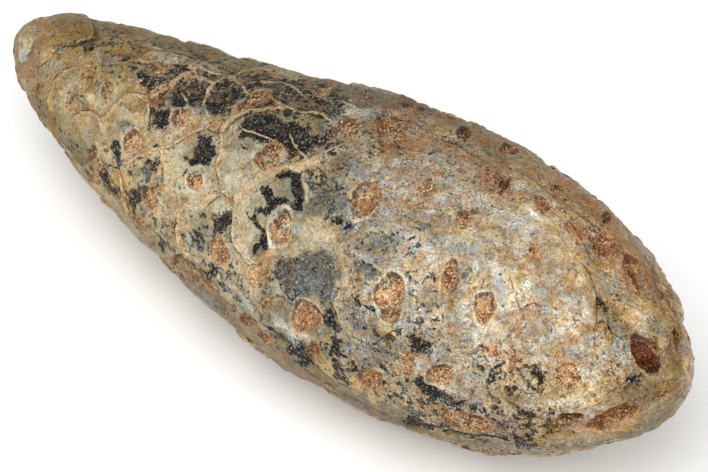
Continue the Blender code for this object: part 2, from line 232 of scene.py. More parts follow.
# Seams between scales: half width in pixels, height in millimetres, how orange, which side carries a dark
# crack, sunk a little and painted dark as the shadow under the scale's edge (1 right of the way it runs, -1
# left), and x and y of each point on the line
shownSeams = (
    (0.7, 0.05, 0.2, -1, (93, 22, 92, 32, 81, 37, 72, 42, 63, 44, 54, 49, 47, 57, 41, 63, 37, 65)),
    (2.0, 0.27, 0.1, 1, (72, 66, 60, 73, 52, 83, 50, 94, 49, 105, 52, 116)),
    (2.0, 0.27, 0.1, 1, (82, 81, 80, 89, 78, 99, 81, 112)),
    (2.2, 0.27, 0.2, -1, (72, 121, 79, 115, 88, 112, 97, 117, 104, 119)),
    (2.1, 0.27, 0.3, -1, (104, 119, 110, 112, 119, 104, 130, 95, 147, 97)),
    (2.6, 0.18, 0.5, 0, (147, 97, 156, 94, 164, 89, 174, 81, 183, 76, 196, 70)),
    (1.0, 0.1, 0.9, 0, (150, 92, 162, 85, 176, 80)),
    (1.8, 0.18, 0.1, -1, (148, 100, 148, 112, 145, 127)),
    (1.4, 0.16, 0.9, 0, (126, 163, 140, 157, 158, 149, 167, 148)),
    (1.1, 0.14, 0.3, 1, (167, 148, 178, 142, 190, 132, 208, 127)),
    (1.6, 0.22, 0.4, 1, (208, 127, 221, 130, 229, 121, 241, 113, 258, 109, 274, 107, 283, 107)),
    (2.2, 0.2, 0.1, 1, (221, 130, 221, 150, 218, 161)),
    (2.1, 0.24, 0.6, 0,
     (167, 217, 194, 203, 221, 194, 235, 196, 259, 176, 269, 172, 280, 168, 297, 164, 307, 163, 317, 157,
      330, 149, 341, 146, 354, 143)),
    (2.2, 0.22, 0.1, 1, (217, 161, 219, 180, 223, 192, 236, 199, 233, 219, 233, 238, 238, 251, 248, 263)),
    (2.0, 0.2, 0.6, 0, (237, 198, 252, 186, 257, 182)),
    (2.6, 0.3, 0.4, 0,
     (249, 262, 266, 254, 281, 253, 294, 249, 308, 246, 317, 241, 325, 246, 336, 249, 344, 244, 371, 231,
      394, 224)),
    (2.2, 0.2, 0.2, 0, (303, 174, 306, 193, 304, 209, 310, 224, 317, 239)),
    (3.2, 0.18, 0.5, 0, (340, 251, 344, 262, 346, 276, 341, 290)),
    (2.0, 0.2, 0.4, 1, (340, 290, 335, 302, 338, 313, 346, 331, 356, 341, 372, 347, 392, 352)),
    (1.6, 0.16, 0.8, 0, (182, 211, 177, 220)),
    (1.8, 0.18, 0.2, 0, (178, 226, 181, 246, 190, 257)),
    (1.5, 0.12, 0.6, 0, (183, 76, 195, 77, 205, 79, 212, 84, 209, 95)),
    (1.2, 0.1, 0.3, 0, (212, 84, 222, 80, 232, 78, 243, 70, 256, 68, 270, 70)),
    (1.0, 0.08, 0.2, 0, (196, 66, 210, 72, 226, 74, 240, 84, 246, 92)),
    (1.0, 0.08, 0.4, 0, (262, 80, 280, 82, 296, 90, 306, 98)),
    (1.0, 0.08, 0.2, 0, (236, 122, 246, 131, 262, 136, 276, 140)),
    (1.2, 0.1, 0.0, 0, (209, 87, 206, 98, 203, 107, 208, 116, 212, 122)),
    (1.2, 0.1, 0.0, 0, (182, 94, 187, 101)),
    (1.2, 0.1, 0.0, 0, (166, 101, 174, 112)),
    (1.2, 0.1, 0.0, 0, (188, 64, 197, 76)),
    (1.3, 0.12, 0.0, 0, (238, 141, 257, 154)),
    (1.3, 0.12, 0.1, 0, (269, 97, 292, 108, 301, 112, 319, 114, 330, 121)),
    (1.2, 0.1, 0.0, 0, (290, 136, 294, 144, 308, 160)),
    (1.5, 0.16, 0.0, 1, (130, 59, 144, 60, 158, 64)),
    (1.0, 0.08, 0.1, 0, (143, 54, 165, 51, 178, 57)),
    (1.8, 0.16, 0.3, 0, (121, 171, 122, 196, 126, 214)),
    (2.2, 0.2, 0.2, 0, (228, 283, 240, 292, 250, 306, 258, 318)),
    (1.6, 0.14, 0.6, 0, (252, 285, 254, 300, 262, 312)),
    (1.8, 0.12, 0.0, -1,
     (676, 318, 672, 335, 664, 350, 650, 357, 636, 361, 631, 373, 618, 386, 608, 394, 596, 404, 575, 409,
      548, 412)),
    (1.4, 0.12, 0.2, -1, (686, 338, 690, 352, 689, 374, 676, 388, 660, 400, 640, 412)),
    (1.6, 0.14, 0.1, 0, (388, 271, 398, 272, 406, 284, 407, 300, 402, 316, 394, 326)),
    (1.4, 0.12, 0.1, 0, (378, 318, 386, 328, 396, 336, 404, 342)),
    (1.6, 0.14, 0.4, 0, (436, 262, 440, 274, 440, 290)),
    (1.4, 0.12, 0.0, 0, (372, 263, 382, 270, 392, 272)),
    (1.4, 0.1, 0.0, 0, (457, 336, 461, 332, 468, 331, 475, 335, 477, 342, 473, 349, 465, 351)),
)

# Cracks with no ridge: half width in pixels, depth in millimetres, and the line
shownCracks = (
    (1.1, 0.25, (100, 160, 108, 176, 120, 194, 134, 212)),
    (1.1, 0.25, (150, 226, 168, 246, 190, 266, 214, 290, 236, 308)),
    (1.1, 0.25, (293, 352, 312, 366, 332, 378, 352, 392)),
    (1.0, 0.25, (304, 368, 322, 382, 344, 396, 372, 410, 398, 420)),
    (1.0, 0.2, (150, 62, 176, 66, 190, 70)),
    (1.1, 0.2, (112, 34, 136, 44, 160, 50, 190, 56, 220, 62)),
    (1.0, 0.2, (250, 74, 290, 82, 330, 92, 356, 104)),
    (1.0, 0.2, (372, 112, 410, 122, 446, 138, 478, 158)),
    (1.0, 0.2, (520, 172, 548, 190, 576, 210, 596, 226)),
    (1.3, 0.25, (161, 162, 163, 172, 161, 182)),
    (1.0, 0.2, (510, 277, 518, 305, 524, 319)),
    (1.0, 0.25, (580, 262, 588, 270, 594, 285, 598, 300, 594, 345)),
    # This line under the small end's cap is sunk and painted dark as the cap's shadow
    (1.5, 0.3, (58, 45, 70, 43, 82, 40, 95, 36)),
    (1.0, 0.25, (223, 215, 225, 232, 233, 246, 243, 258, 249, 262)),
    (0.9, 0.2, (230, 275, 240, 275)),
    (1.2, 0.25, (253, 305, 260, 312, 261, 322)),
    (1.0, 0.2, (280, 296, 289, 302, 293, 306)),
    (1.4, 0.3, (265, 326, 277, 335, 286, 342, 293, 352, 300, 360)),
    (1.6, 0.3, (403, 420, 418, 426, 437, 430, 450, 430)),
    (1.3, 0.3, (436, 394, 445, 400, 455, 403, 468, 399, 474, 391)),
    (1.5, 0.35, (489, 372, 486, 390, 492, 398, 500, 402)),
    (1.4, 0.35, (505, 402, 515, 406, 524, 411, 532, 417, 540, 420)),
    (1.3, 0.25, (442, 425, 452, 434, 466, 439, 490, 441, 512, 446, 540, 450)),
    (1.0, 0.2, (373, 345, 385, 336, 401, 325)),
    (1.2, 0.25, (640, 246, 650, 262, 656, 280, 664, 296)),
    (1.0, 0.2, (570, 222, 584, 240, 590, 256)),
    (1.0, 0.2, (122, 171, 124, 184, 123, 196, 127, 210)),
    (1.0, 0.2, (105, 166, 114, 168, 122, 171)),
    (0.8, 0.15, (240, 318, 248, 330, 258, 338)),
    (1.0, 0.15, (209, 204, 213, 200, 222, 194)),
    (1.2, 0.25, (608, 322, 612, 334, 622, 340, 626, 350)),
    (1.0, 0.2, (516, 330, 506, 338, 500, 346)),
    (1.0, 0.15, (520, 310, 532, 304, 545, 306)),
    (1.2, 0.25, (345, 232, 356, 224, 372, 220)),
    (1.2, 0.25, (382, 232, 390, 240, 384, 254)),
    (1.0, 0.2, (355, 338, 372, 346, 392, 352)),
    (1.2, 0.25, (188, 231, 200, 246, 208, 252)),
    (1.0, 0.2, (194, 229, 208, 244)),
    (1.0, 0.2, (258, 286, 266, 297, 272, 298)),
    (1.0, 0.2, (283, 296, 290, 304, 296, 306)),
    (1.2, 0.2, (668, 300, 676, 316, 682, 338)),
    (1.0, 0.2, (652, 262, 664, 280, 672, 292)),
    (1.0, 0.2, (244, 83, 262, 82, 280, 90)),
    (1.0, 0.2, (222, 84, 236, 92, 243, 99)),
    (1.0, 0.2, (166, 100, 158, 108, 150, 126)),
)

# Coloured areas in the picture. Each row gives the softness of the edge in pixels, the strength and
# the shapes: an oval as x, y, half length, half breadth and tilt, or an outline as x and y of each
# corner in turn.
stoneAreas = {}
# Black, glassy gaps
stoneAreas["dark"] = (
    (2.5, 0.95, (284, 344, 300, 346, 310, 352, 308, 368, 298, 366, 288, 356),
     (262, 326, 276, 332, 290, 344, 286, 350, 272, 338)),
    (2.5, 0.9, (330, 338, 346, 340, 341, 350, 352, 362, 342, 361, 330, 350), (570, 421, 11, 2.6, 12),
     (107, 183, 13, 3, -62)),
    (2.5, 0.8, (352, 362, 368, 367, 360, 373, 350, 368), (214, 108, 9, 4, 10), (396, 400, 8, 3, -10),
     (422, 110, 4, 3), (566, 199, 3.5, 2.5, -50), (504, 186, 13, 2.5, -40)),
    (3, 0.7, (322, 352, 340, 362, 352, 372, 344, 374, 328, 362), (387, 335, 15, 5, 30),
     (624, 376, 645, 374, 651, 384, 636, 391, 624, 390), (505, 436, 530, 438, 548, 446, 520, 448),
     (204, 78, 8, 5, 20), (250, 90, 10, 3, -20), (338, 214, 352, 216, 350, 226, 338, 224),
     (362, 258, 372, 262, 386, 272, 384, 278, 370, 270, 360, 264),
     (362, 322, 380, 330, 396, 340, 392, 346, 376, 338, 360, 330), (283, 350, 296, 356, 304, 366, 290, 362),
     (326, 366, 350, 374, 356, 388, 338, 380)),
    (3, 1.0, (139, 70, 154, 68, 155, 84, 148, 92, 139, 88),
     (149, 108, 162, 106, 168, 114, 164, 125, 152, 127),
     (201, 131, 213, 130, 212, 148, 208, 161, 202, 164, 187, 167, 181, 161, 190, 153, 197, 139),
     (237, 127, 247, 119, 263, 113, 274, 116, 290, 122, 308, 132, 326, 136, 323, 143, 308, 149, 302, 157,
      290, 158, 279, 142, 252, 142, 241, 138)),
    (2.5, 1.0, (182, 71, 9, 5, 10)),
    (3, 0.9, (167, 96, 178, 93, 188, 99, 186, 110, 173, 112), (188, 92, 201, 91, 200, 104, 190, 108),
     (223, 90, 238, 87, 243, 93, 232, 102, 223, 100), (109, 142, 121, 141, 122, 156, 116, 166, 109, 158),
     (128, 189, 141, 188, 141, 208, 132, 212, 127, 202), (211, 213, 230, 212, 229, 228, 216, 236, 210, 228),
     (204, 262, 218, 262, 221, 272, 212, 277, 205, 272), (323, 309, 334, 307, 341, 322, 338, 334, 326, 330),
     (405, 334, 420, 332, 432, 338, 430, 349, 412, 350),
     (403, 419, 426, 422, 450, 428, 449, 432, 425, 430, 404, 424),
     (527, 374, 533, 370, 543, 372, 544, 387, 539, 388, 537, 379, 526, 380), (468, 133, 4, 5),
     (413, 378, 420, 376, 432, 388, 448, 397, 462, 398, 464, 403, 446, 406, 428, 398, 414, 388)),
    (2, 0.8, (242, 147, 4, 3), (183, 174, 3, 3), (202, 217, 6, 2.5, 80), (123, 61, 3, 2), (134, 61, 3, 2),
     (133, 127, 3, 3), (515, 355, 6, 2.5, -60)),
    (2, 1.0,
     (273, 176, 285, 170, 300, 169, 303, 185, 303, 212, 296, 212, 290, 205, 291, 198, 291, 190, 288, 180,
      280, 180),
     (260, 188, 264, 184, 272, 188, 275, 194, 280, 193, 286, 196, 284, 202, 277, 204, 274, 213, 266, 216,
      262, 211, 266, 204, 262, 198),
     (248, 215, 256, 213, 261, 217, 262, 224, 266, 232, 265, 248, 258, 252, 252, 259, 249, 256, 255, 246,
      258, 238, 258, 230, 255, 223, 249, 221)),
    (4, 0.52, (282, 254, 308, 248, 332, 252, 332, 312, 322, 305, 316, 300, 290, 301, 277, 286, 273, 273)),
    (3, 0.75, (149, 170, 13, 7, 75)),
    (3, 0.6, (163, 240, 12, 6, 70), (456, 402, 470, 400, 484, 404, 478, 412, 458, 409)),
    (3, 0.62, (187, 228, 208, 227, 210, 240, 203, 253, 190, 248)),
    (3, 0.8, (303, 360, 8, 5, 60), (502, 388, 510, 385, 517, 389, 512, 396, 503, 395),
     (512, 402, 524, 407, 534, 412, 540, 418, 533, 420, 519, 414),
     (440, 430, 450, 432, 470, 440, 495, 440, 520, 446, 540, 449, 540, 453, 500, 447, 470, 445, 446, 437),
     (203, 92, 222, 96, 226, 112, 212, 118, 204, 108), (283, 144, 300, 143, 302, 156, 290, 160),
     (350, 296, 362, 298, 374, 306, 372, 312, 356, 304)),
    (3, 0.85, (414, 379, 426, 377, 437, 386, 436, 395, 420, 392)),
    # The first shape in this row is painted shadow below the small end's raised cap
    (2.5, 0.6, (58, 42, 95, 33, 97, 42, 88, 48, 70, 50, 58, 49), (250, 82, 21, 2.5, 10)),
    (2.5, 0.7, (557, 187, 5, 4)),
    (3, 0.5, (595, 298, 606, 293, 612, 304, 604, 310, 596, 306), (335, 175, 346, 176, 344, 214, 334, 216)),
    (2, 0.7, (486, 349, 4, 2.5, 20)),
)

# Mottled ground, where black only breaks through in spots
stoneAreas["mottled"] = (
    (8, 0.32, (96, 20, 150, 36, 210, 50, 270, 66, 340, 80, 340, 90, 270, 80, 200, 66, 140, 60, 104, 54),
     (28, 92, 46, 104, 70, 136, 98, 160, 140, 214, 150, 240, 128, 222, 90, 180, 50, 136)),
    (6, 0.27, (96, 40, 132, 44, 150, 66, 120, 80, 96, 66)),
    (8, 0.38, (150, 236, 176, 258, 222, 300, 250, 332, 240, 332, 200, 296, 164, 262)),
    (5, 0.2, (34, 22, 56, 16, 90, 20, 90, 30, 60, 42, 40, 40)),
    (5, 0.22, (72, 98, 14, 10), (28, 78, 7, 14, 90)),
    (10, 0.66, (140, 62, 200, 64, 270, 72, 345, 88, 350, 120, 320, 128, 270, 112, 220, 116, 150, 100)),
    (8, 0.56, (296, 122, 345, 126, 350, 150, 300, 162)),
    (8, 0.5, (304, 166, 352, 160, 346, 210, 350, 244, 320, 214, 306, 200)),
    (8, 0.27, (340, 232, 420, 222, 424, 262, 400, 262, 372, 270, 366, 330, 342, 320, 338, 256),
     (410, 262, 440, 262, 440, 340, 470, 352, 420, 362, 360, 362, 350, 330, 400, 334)),
    (10, 0.36, (286, 338, 345, 345, 400, 366, 450, 396, 440, 410, 380, 400, 320, 374)),
    (10, 0.45, (400, 396, 480, 396, 560, 410, 560, 446, 480, 440, 410, 420)),
    (8, 0.4, (250, 322, 300, 344, 300, 366, 262, 344)),
    (8, 0.35, (124, 186, 180, 226, 240, 270, 262, 316, 236, 300, 180, 262, 132, 214),
     (98, 140, 164, 150, 160, 214, 124, 214), (596, 290, 616, 292, 622, 330, 600, 330),
     (470, 340, 550, 366, 552, 400, 500, 400, 470, 380)),
    (8, 0.3, (500, 165, 520, 175, 500, 205, 488, 196)),
    (10, 0.22, (352, 108, 420, 112, 500, 150, 520, 180, 480, 190, 420, 160, 352, 160)),
)

stoneAreas["rust"] = (
    (4, 0.6, (206, 119, 222, 118, 226, 128, 218, 135, 206, 131),
     (98, 165, 112, 186, 128, 206, 138, 218, 126, 214, 108, 196),
     (236, 306, 260, 330, 284, 352, 306, 372, 296, 370, 262, 344, 238, 320),
     (318, 384, 352, 402, 390, 420, 420, 436, 400, 432, 350, 410), (145, 226, 9, 7), (348, 278, 13, 6, 90),
     (518, 317, 11, 8), (598, 262, 14, 4, -70), (540, 424, 580, 422, 600, 426, 590, 434, 545, 434),
     (522, 420, 6, 5), (440, 176, 8, 5), (398, 170, 7, 5)),
    (4, 0.5, (560, 300, 580, 296, 586, 312, 566, 322), (232, 139, 9, 7, 90)),
    (4, 0.7, (121, 50, 150, 49, 154, 60, 150, 67, 124, 63), (227, 193, 237, 193, 237, 203, 227, 202),
     (665, 312, 6, 4, -60)),
    (3, 0.9, (150, 98, 168, 96, 171, 101, 160, 106, 150, 105)),
    (5, 0.8, (186, 262, 196, 262, 218, 285, 228, 298, 214, 292, 196, 276)),
    (3, 0.6, (228, 80, 6, 3), (278, 74, 6, 3), (102, 43, 5, 4)),
    (3, 0.7, (321, 188, 5, 5), (35, 89, 9, 3, 90)),
    (3, 0.8, (39, 25, 5, 4), (586, 327, 6, 3, 20)),
    (5, 0.7, (545, 160, 560, 172, 585, 192, 604, 208, 598, 214, 570, 196, 548, 176)),
    (4, 0.8, (590, 200, 602, 214, 598, 218, 586, 206), (653, 272, 9, 4, -55), (667, 292, 7, 4, -50)),
    (5, 0.55, (600, 225, 625, 245, 622, 262, 608, 256, 596, 236)),
    (5, 0.5, (560, 215, 580, 222, 590, 240, 575, 246, 560, 236),
     (480, 345, 500, 342, 506, 356, 494, 362, 480, 356), (570, 330, 590, 326, 596, 336, 580, 342),
     (505, 165, 12, 8, -30)),
    (4, 0.45, (608, 388, 622, 380, 626, 398, 618, 404, 606, 400)),
    (5, 0.6, (680, 345, 688, 350, 688, 370, 680, 366)),
    (6, 0.45, (420, 110, 450, 118, 452, 128, 425, 124)),
    (5, 0.45, (520, 140, 12, 7, -25)),
)

# Golden brown ground, and the strongest orange-red spots
stoneAreas["gold"] = (
    (5, 0.9, (34, 34, 44, 20, 90, 20, 92, 32, 72, 42, 54, 49, 40, 60, 30, 56)),
    (3, 0.9, (45, 48, 7, 6)),
    (4, 0.7, (72, 130, 9, 5, -10), (282, 350, 304, 362, 308, 370, 292, 366)),
    (4, 0.8, (145, 227, 10, 7, -35), (122, 178, 10, 7, 80),
     (194, 268, 208, 276, 222, 296, 216, 302, 204, 292, 194, 280), (326, 364, 11, 7, -30)),
    (5, 0.8, (366, 384, 18, 11)),
    (8, 0.62,
     (372, 92, 430, 104, 520, 140, 600, 200, 650, 262, 690, 330, 660, 300, 620, 256, 580, 222, 540, 192,
      490, 164, 430, 128, 380, 114)),
    (5, 0.6, (574, 250, 588, 258, 594, 300, 586, 312, 576, 290), (604, 374, 15, 10, 80), (642, 300, 17, 9),
     (438, 412, 470, 412, 496, 422, 500, 436, 470, 436, 446, 430)),
    (6, 0.8, (624, 368, 676, 350, 690, 372, 660, 404, 620, 414, 612, 402)),
    (6, 0.6, (100, 22, 160, 32, 240, 54, 240, 64, 160, 46, 104, 36),
     (540, 434, 600, 434, 650, 416, 686, 384, 692, 396, 650, 432, 600, 452, 540, 458),
     (96, 160, 118, 190, 150, 226, 190, 262, 230, 300, 224, 306, 180, 270, 120, 214)),
    (5, 0.5, (236, 306, 262, 330, 300, 360, 340, 384, 400, 408, 396, 416, 330, 392, 250, 340),
     (118, 98, 16, 8, 40), (60, 88, 12, 7, 60), (130, 52, 16, 7), (530, 262, 12, 9), (510, 378, 8, 12)),
    (5, 0.45, (552, 226, 14, 8), (560, 340, 14, 7), (412, 150, 16, 8, -20), (440, 210, 10, 8)),
)

stoneAreas["fire"] = (
    (2.5, 0.9, (192, 277, 8, 4, -45), (214, 288, 9, 4, -40)),
    (2.5, 0.8, (141, 222, 7, 4, -50), (231, 306, 7, 3.5, -40)),
    (2.5, 0.7, (101, 170, 8, 4, -60), (52, 118, 5, 3, -60)),
    (3, 0.9, (33, 91, 8, 4, 85), (400, 103, 424, 106, 424, 111, 402, 109),
     (622, 256, 634, 264, 640, 286, 630, 292, 622, 276), (93, 176, 10, 4, -62), (173, 261, 9, 5, -35),
     (249, 320, 8, 5, -35), (264, 339, 6, 4, -35), (408, 370, 8, 5, 90), (638, 350, 12, 3, -62),
     (309, 322, 13, 9)),
    (3, 0.8, (102, 43, 5, 4), (224, 80, 7, 3), (278, 74, 10, 3, -5), (652, 272, 10, 4, -60),
     (666, 292, 7, 4, -50), (512, 362, 13, 4, 85), (683, 338, 10, 3, -80), (478, 422, 12, 4, -20),
     (372, 382, 8, 7), (372, 198, 12, 4, -60)),
    (3, 0.7, (222, 96, 5, 4, 90), (364, 96, 7, 4), (434, 150, 5, 4), (668, 395, 8, 4, 35),
     (555, 429, 12, 4), (258, 274, 9, 5, 20), (396, 288, 12, 5, 80), (222, 254, 9, 4, 100),
     (153, 200, 8, 4, 105), (448, 280, 10, 4, 82), (350, 122, 7, 3), (314, 352, 7, 6)),
    (4, 0.75, (148, 88, 176, 82, 178, 90, 160, 104, 150, 106)),
    (4, 0.9, (376, 114, 392, 118, 410, 122, 404, 130, 398, 142, 386, 146, 380, 134)),
    (4, 0.6, (382, 150, 9, 5, 70), (560, 214, 590, 222, 592, 236, 570, 238), (566, 376, 9, 9)),
    (4, 0.45, (425, 186, 10, 9)),
    (3, 1.0, (463, 219, 9, 8, 90), (541, 204, 7, 6, -60)),
    (4, 0.85, (498, 180, 10, 8, -50), (592, 422, 616, 410, 640, 407, 640, 415, 616, 428, 596, 436)),
    (5, 0.8, (590, 225, 606, 228, 625, 248, 622, 262, 606, 260, 592, 248)),
    (3, 0.6, (408, 356, 6, 5), (490, 352, 7, 4), (450, 424, 12, 5, -15), (533, 424, 5, 5), (528, 256, 6, 4),
     (485, 314, 8, 6), (276, 152, 8, 4, 110)),
)

# Cream and ochre, the colour of the smooth scale faces and of the rims
stoneAreas["cream"] = (
    (4, 0.8, (56, 84, 74, 76, 78, 90, 74, 110, 58, 112), (86, 92, 100, 98, 104, 112, 88, 108),
     (110, 76, 128, 82, 124, 96, 110, 106), (329, 366, 7, 9, 60), (122, 172, 132, 172, 133, 193, 124, 193)),
    (4, 0.7, (110, 124, 128, 108, 144, 110, 140, 128, 120, 136), (130, 76, 146, 78, 144, 92, 130, 92),
     (96, 146, 110, 142, 112, 164, 100, 164), (292, 330, 300, 326, 330, 338, 332, 346, 310, 344),
     (445, 231, 470, 231, 472, 243, 450, 243), (374, 398, 12, 6), (640, 308, 8, 6)),
    (5, 0.6, (150, 160, 174, 152, 182, 176, 164, 190, 146, 182),
     (495, 320, 512, 312, 520, 322, 505, 336, 492, 336), (600, 330, 618, 336, 614, 356, 600, 352),
     (492, 210, 543, 210, 543, 230, 500, 230), (604, 270, 618, 268, 622, 288, 610, 292),
     (604, 314, 640, 298, 666, 300, 675, 318, 664, 348, 652, 344, 640, 328, 612, 330)),
    (3, 0.9, (258, 178, 280, 168, 306, 162, 330, 149, 343, 145, 343, 150, 318, 162, 284, 173, 262, 182),
     (268, 318, 276, 326, 292, 334, 312, 342, 330, 344, 334, 338, 318, 337, 300, 331, 286, 322, 278, 312),
     (212, 122, 221, 122, 222, 129, 212, 129)),
    (3, 0.8, (336, 254, 345, 254, 350, 270, 346, 290, 338, 288, 342, 268), (197, 147, 4, 3)),
    (3, 1.0,
     (282, 254, 308, 243, 316, 236, 310, 222, 318, 220, 328, 238, 345, 245, 342, 254, 322, 249, 300, 254)),
    (4, 0.9, (221, 171, 250, 170, 254, 180, 246, 193, 226, 192),
     (217, 199, 231, 198, 232, 212, 222, 218, 216, 210),
     (262, 240, 270, 252, 300, 246, 316, 241, 306, 216, 298, 214, 296, 236, 280, 250)),
    (3, 0.7, (136, 200, 4, 4)),
    (4, 1.0, (308, 217, 321, 241, 336, 249, 330, 232, 320, 214)),
    (5, 0.8, (236, 204, 252, 200, 256, 214, 254, 236, 244, 254, 236, 238)),
    (5, 0.7, (590, 360, 604, 366, 606, 384, 594, 392, 580, 400, 560, 400, 574, 392, 590, 380),
     (492, 265, 514, 266, 514, 308, 498, 310)),
    (4, 0.6, (570, 240, 578, 252, 586, 280, 582, 300, 572, 280)),
)

stoneAreas["white"] = (
    (3, 0.62, (268, 312, 278, 312, 300, 328, 320, 340, 312, 346, 292, 338, 274, 326)),
    (3, 0.8, (521, 244, 5, 6), (398, 190, 6, 5), (475, 268, 6, 4, 90), (358, 222, 3, 2)),
    (4, 0.6, (440, 244, 12, 5, -20), (636, 318, 648, 314, 654, 322, 646, 330), (586, 306, 6, 10),
     (566, 300, 9, 8), (240, 296, 250, 300, 252, 310, 242, 306),
     (545, 398, 580, 396, 600, 394, 590, 404, 560, 408, 546, 406),
     (586, 412, 606, 404, 612, 408, 600, 418, 588, 418), (580, 352, 9, 7, -30)),
    (3, 0.6, (290, 330, 14, 3.5, -25), (383, 183, 5, 4), (396, 190, 5, 4), (470, 171, 6, 4),
     (374, 267, 388, 267, 388, 272, 375, 272), (311, 296, 3, 3), (231, 268, 6, 3), (536, 362, 6, 7),
     (540, 218, 10, 8)),
    (4, 0.5, (612, 336, 624, 342, 634, 352, 634, 362, 626, 368, 616, 360, 610, 346),
     (341, 106, 369, 104, 369, 118, 344, 118), (592, 376, 7, 9), (610, 274, 7, 7), (484, 300, 7, 4),
     (475, 335, 8, 5)),
    (3, 0.7, (663, 338, 668, 342, 664, 350, 658, 347), (426, 167, 7, 4), (442, 197, 6, 4), (432, 211, 6, 4),
     (522, 245, 5, 4), (523, 262, 6, 4), (315, 284, 6, 5, 60), (292, 298, 5, 4)),
    (3, 1.0, (18, 37, 30, 37, 30, 57, 20, 58)),
    (3, 0.45, (109, 55, 7, 2.5)),
    (3, 0.5, (118, 33, 4, 3), (563, 215, 6, 3, -50)),
    (2.5, 0.8, (436, 193, 439, 192, 448, 208, 445, 210)),
)

stoneAreas["blue"] = (
    (3, 0.8, (206, 297, 20, 4, -42), (111, 57, 7, 4), (147, 178, 9, 6, 80), (229, 285, 5, 5),
     (244, 298, 7, 4, -40), (370, 175, 5, 4)),
    (3, 0.7, (172, 258, 10, 4, -50), (66, 138, 10, 4, -50), (134, 74, 5, 6), (75, 86, 8, 5, 85),
     (123, 122, 4, 4)),
    (3, 0.6, (118, 32, 6, 3), (50, 100, 7, 4, 80), (149, 179, 4, 4)),
    (3, 0.9, (206, 70, 7, 4), (122, 126, 7, 7), (186, 232, 196, 229, 205, 246, 200, 255, 190, 247),
     (380, 184, 6, 4)),
    (5, 1.0, (312, 283, 15, 12)),
    (4, 0.8, (405, 290, 11, 6, 90), (345, 222, 8, 8), (575, 356, 9, 9), (372, 268, 14, 7, -35),
     (440, 352, 8, 6), (339, 342, 352, 340, 359, 348, 352, 357, 341, 354), (656, 330, 9, 6, -40)),
    (4, 0.5, (610, 350, 14, 7, 90), (524, 340, 7, 4, -10), (545, 338, 6, 6), (583, 232, 8, 6, -40),
     (616, 283, 6, 6), (563, 268, 4, 12, -10), (320, 262, 12, 7), (265, 308, 276, 306, 282, 318, 270, 320),
     (430, 330, 8, 6), (408, 172, 420, 164, 440, 165, 430, 176)),
    (4, 0.7, (396, 240, 10, 7), (80, 156, 10, 4, -60), (500, 286, 22, 6, -80),
     (448, 244, 481, 243, 480, 257, 450, 258), (470, 402, 482, 400, 480, 414, 462, 412),
     (614, 346, 7, 12, 10)),
    (4, 0.6, (90, 130, 9, 4, -70), (353, 262, 372, 258, 388, 262, 384, 282, 360, 286), (540, 293, 7, 9),
     (467, 340, 8, 7), (448, 388, 470, 384, 478, 390, 460, 396), (478, 388, 6, 4),
     (196, 270, 206, 272, 212, 282, 204, 284), (495, 212, 543, 212, 540, 232, 502, 232),
     (492, 268, 506, 266, 512, 308, 500, 306), (340, 160, 364, 158, 380, 176, 356, 186),
     (374, 212, 392, 205, 400, 216, 380, 226)),
)

# Olive and brown towards the outline: partly weathered skin, partly painted shade where the surface turns
# away from the light
stoneAreas["olive"] = (
    (4, 0.8, (240, 324, 26, 5, -42)),
    (4, 0.7, (186, 268, 14, 5, -45), (110, 190, 16, 5, -52)),
    (8, 0.45, (90, 10, 140, 20, 200, 35, 260, 52, 330, 72, 330, 84, 250, 70, 180, 56, 110, 36),
     (330, 70, 420, 95, 500, 130, 560, 160, 620, 215, 660, 270, 690, 330, 676, 330, 640, 270, 600, 225, 540,
      175, 480, 145, 400, 112, 330, 88)),
    (8, 0.8, (180, 262, 230, 306, 290, 352, 350, 386, 420, 412, 420, 440, 330, 410, 240, 350, 180, 290)),
    (8, 0.7,
     (420, 430, 460, 442, 520, 452, 590, 450, 650, 420, 690, 380, 700, 400, 640, 470, 500, 475, 420, 450)),
    (3, 0.9, (96, 29, 9, 4, 80)),
    (6, 0.6, (350, 165, 20, 14), (362, 104, 22, 8, -15), (430, 300, 18, 14)),
    (6, 0.5, (330, 196, 10, 20), (455, 160, 20, 9, -25)),
    (5, 0.6, (614, 282, 12, 8, 90)),
    (8, 0.6, (590, 225, 600, 250, 596, 285, 588, 262, 582, 240)),
    (8, 0.5, (625, 360, 672, 345, 686, 370, 650, 405, 610, 410)),
)

# Brown towards the blunt end and along its outline: partly iron stain, partly painted shade where the
# surface turns away from the light
stoneAreas["brown"] = (
    (10, 0.6,
     (372, 92, 430, 104, 520, 140, 600, 200, 650, 262, 690, 330, 692, 372, 668, 352, 664, 318, 630, 262,
      596, 226, 560, 196, 500, 160, 440, 128, 380, 112)),
    (10, 0.75, (380, 112, 440, 128, 500, 160, 520, 200, 490, 196, 440, 150, 400, 150, 372, 130)),
    (8, 0.5, (596, 226, 640, 262, 668, 330, 650, 330, 620, 290, 600, 262, 586, 240),
     (540, 424, 600, 412, 640, 400, 676, 378, 690, 392, 660, 420, 600, 444, 540, 448),
     (440, 404, 500, 420, 540, 430, 520, 446, 470, 440, 436, 424)),
    (8, 0.45, (180, 262, 230, 306, 290, 352, 350, 386, 350, 398, 280, 366, 220, 322, 176, 276)),
    (8, 0.4, (520, 236, 556, 240, 580, 290, 560, 300, 530, 272)),
)

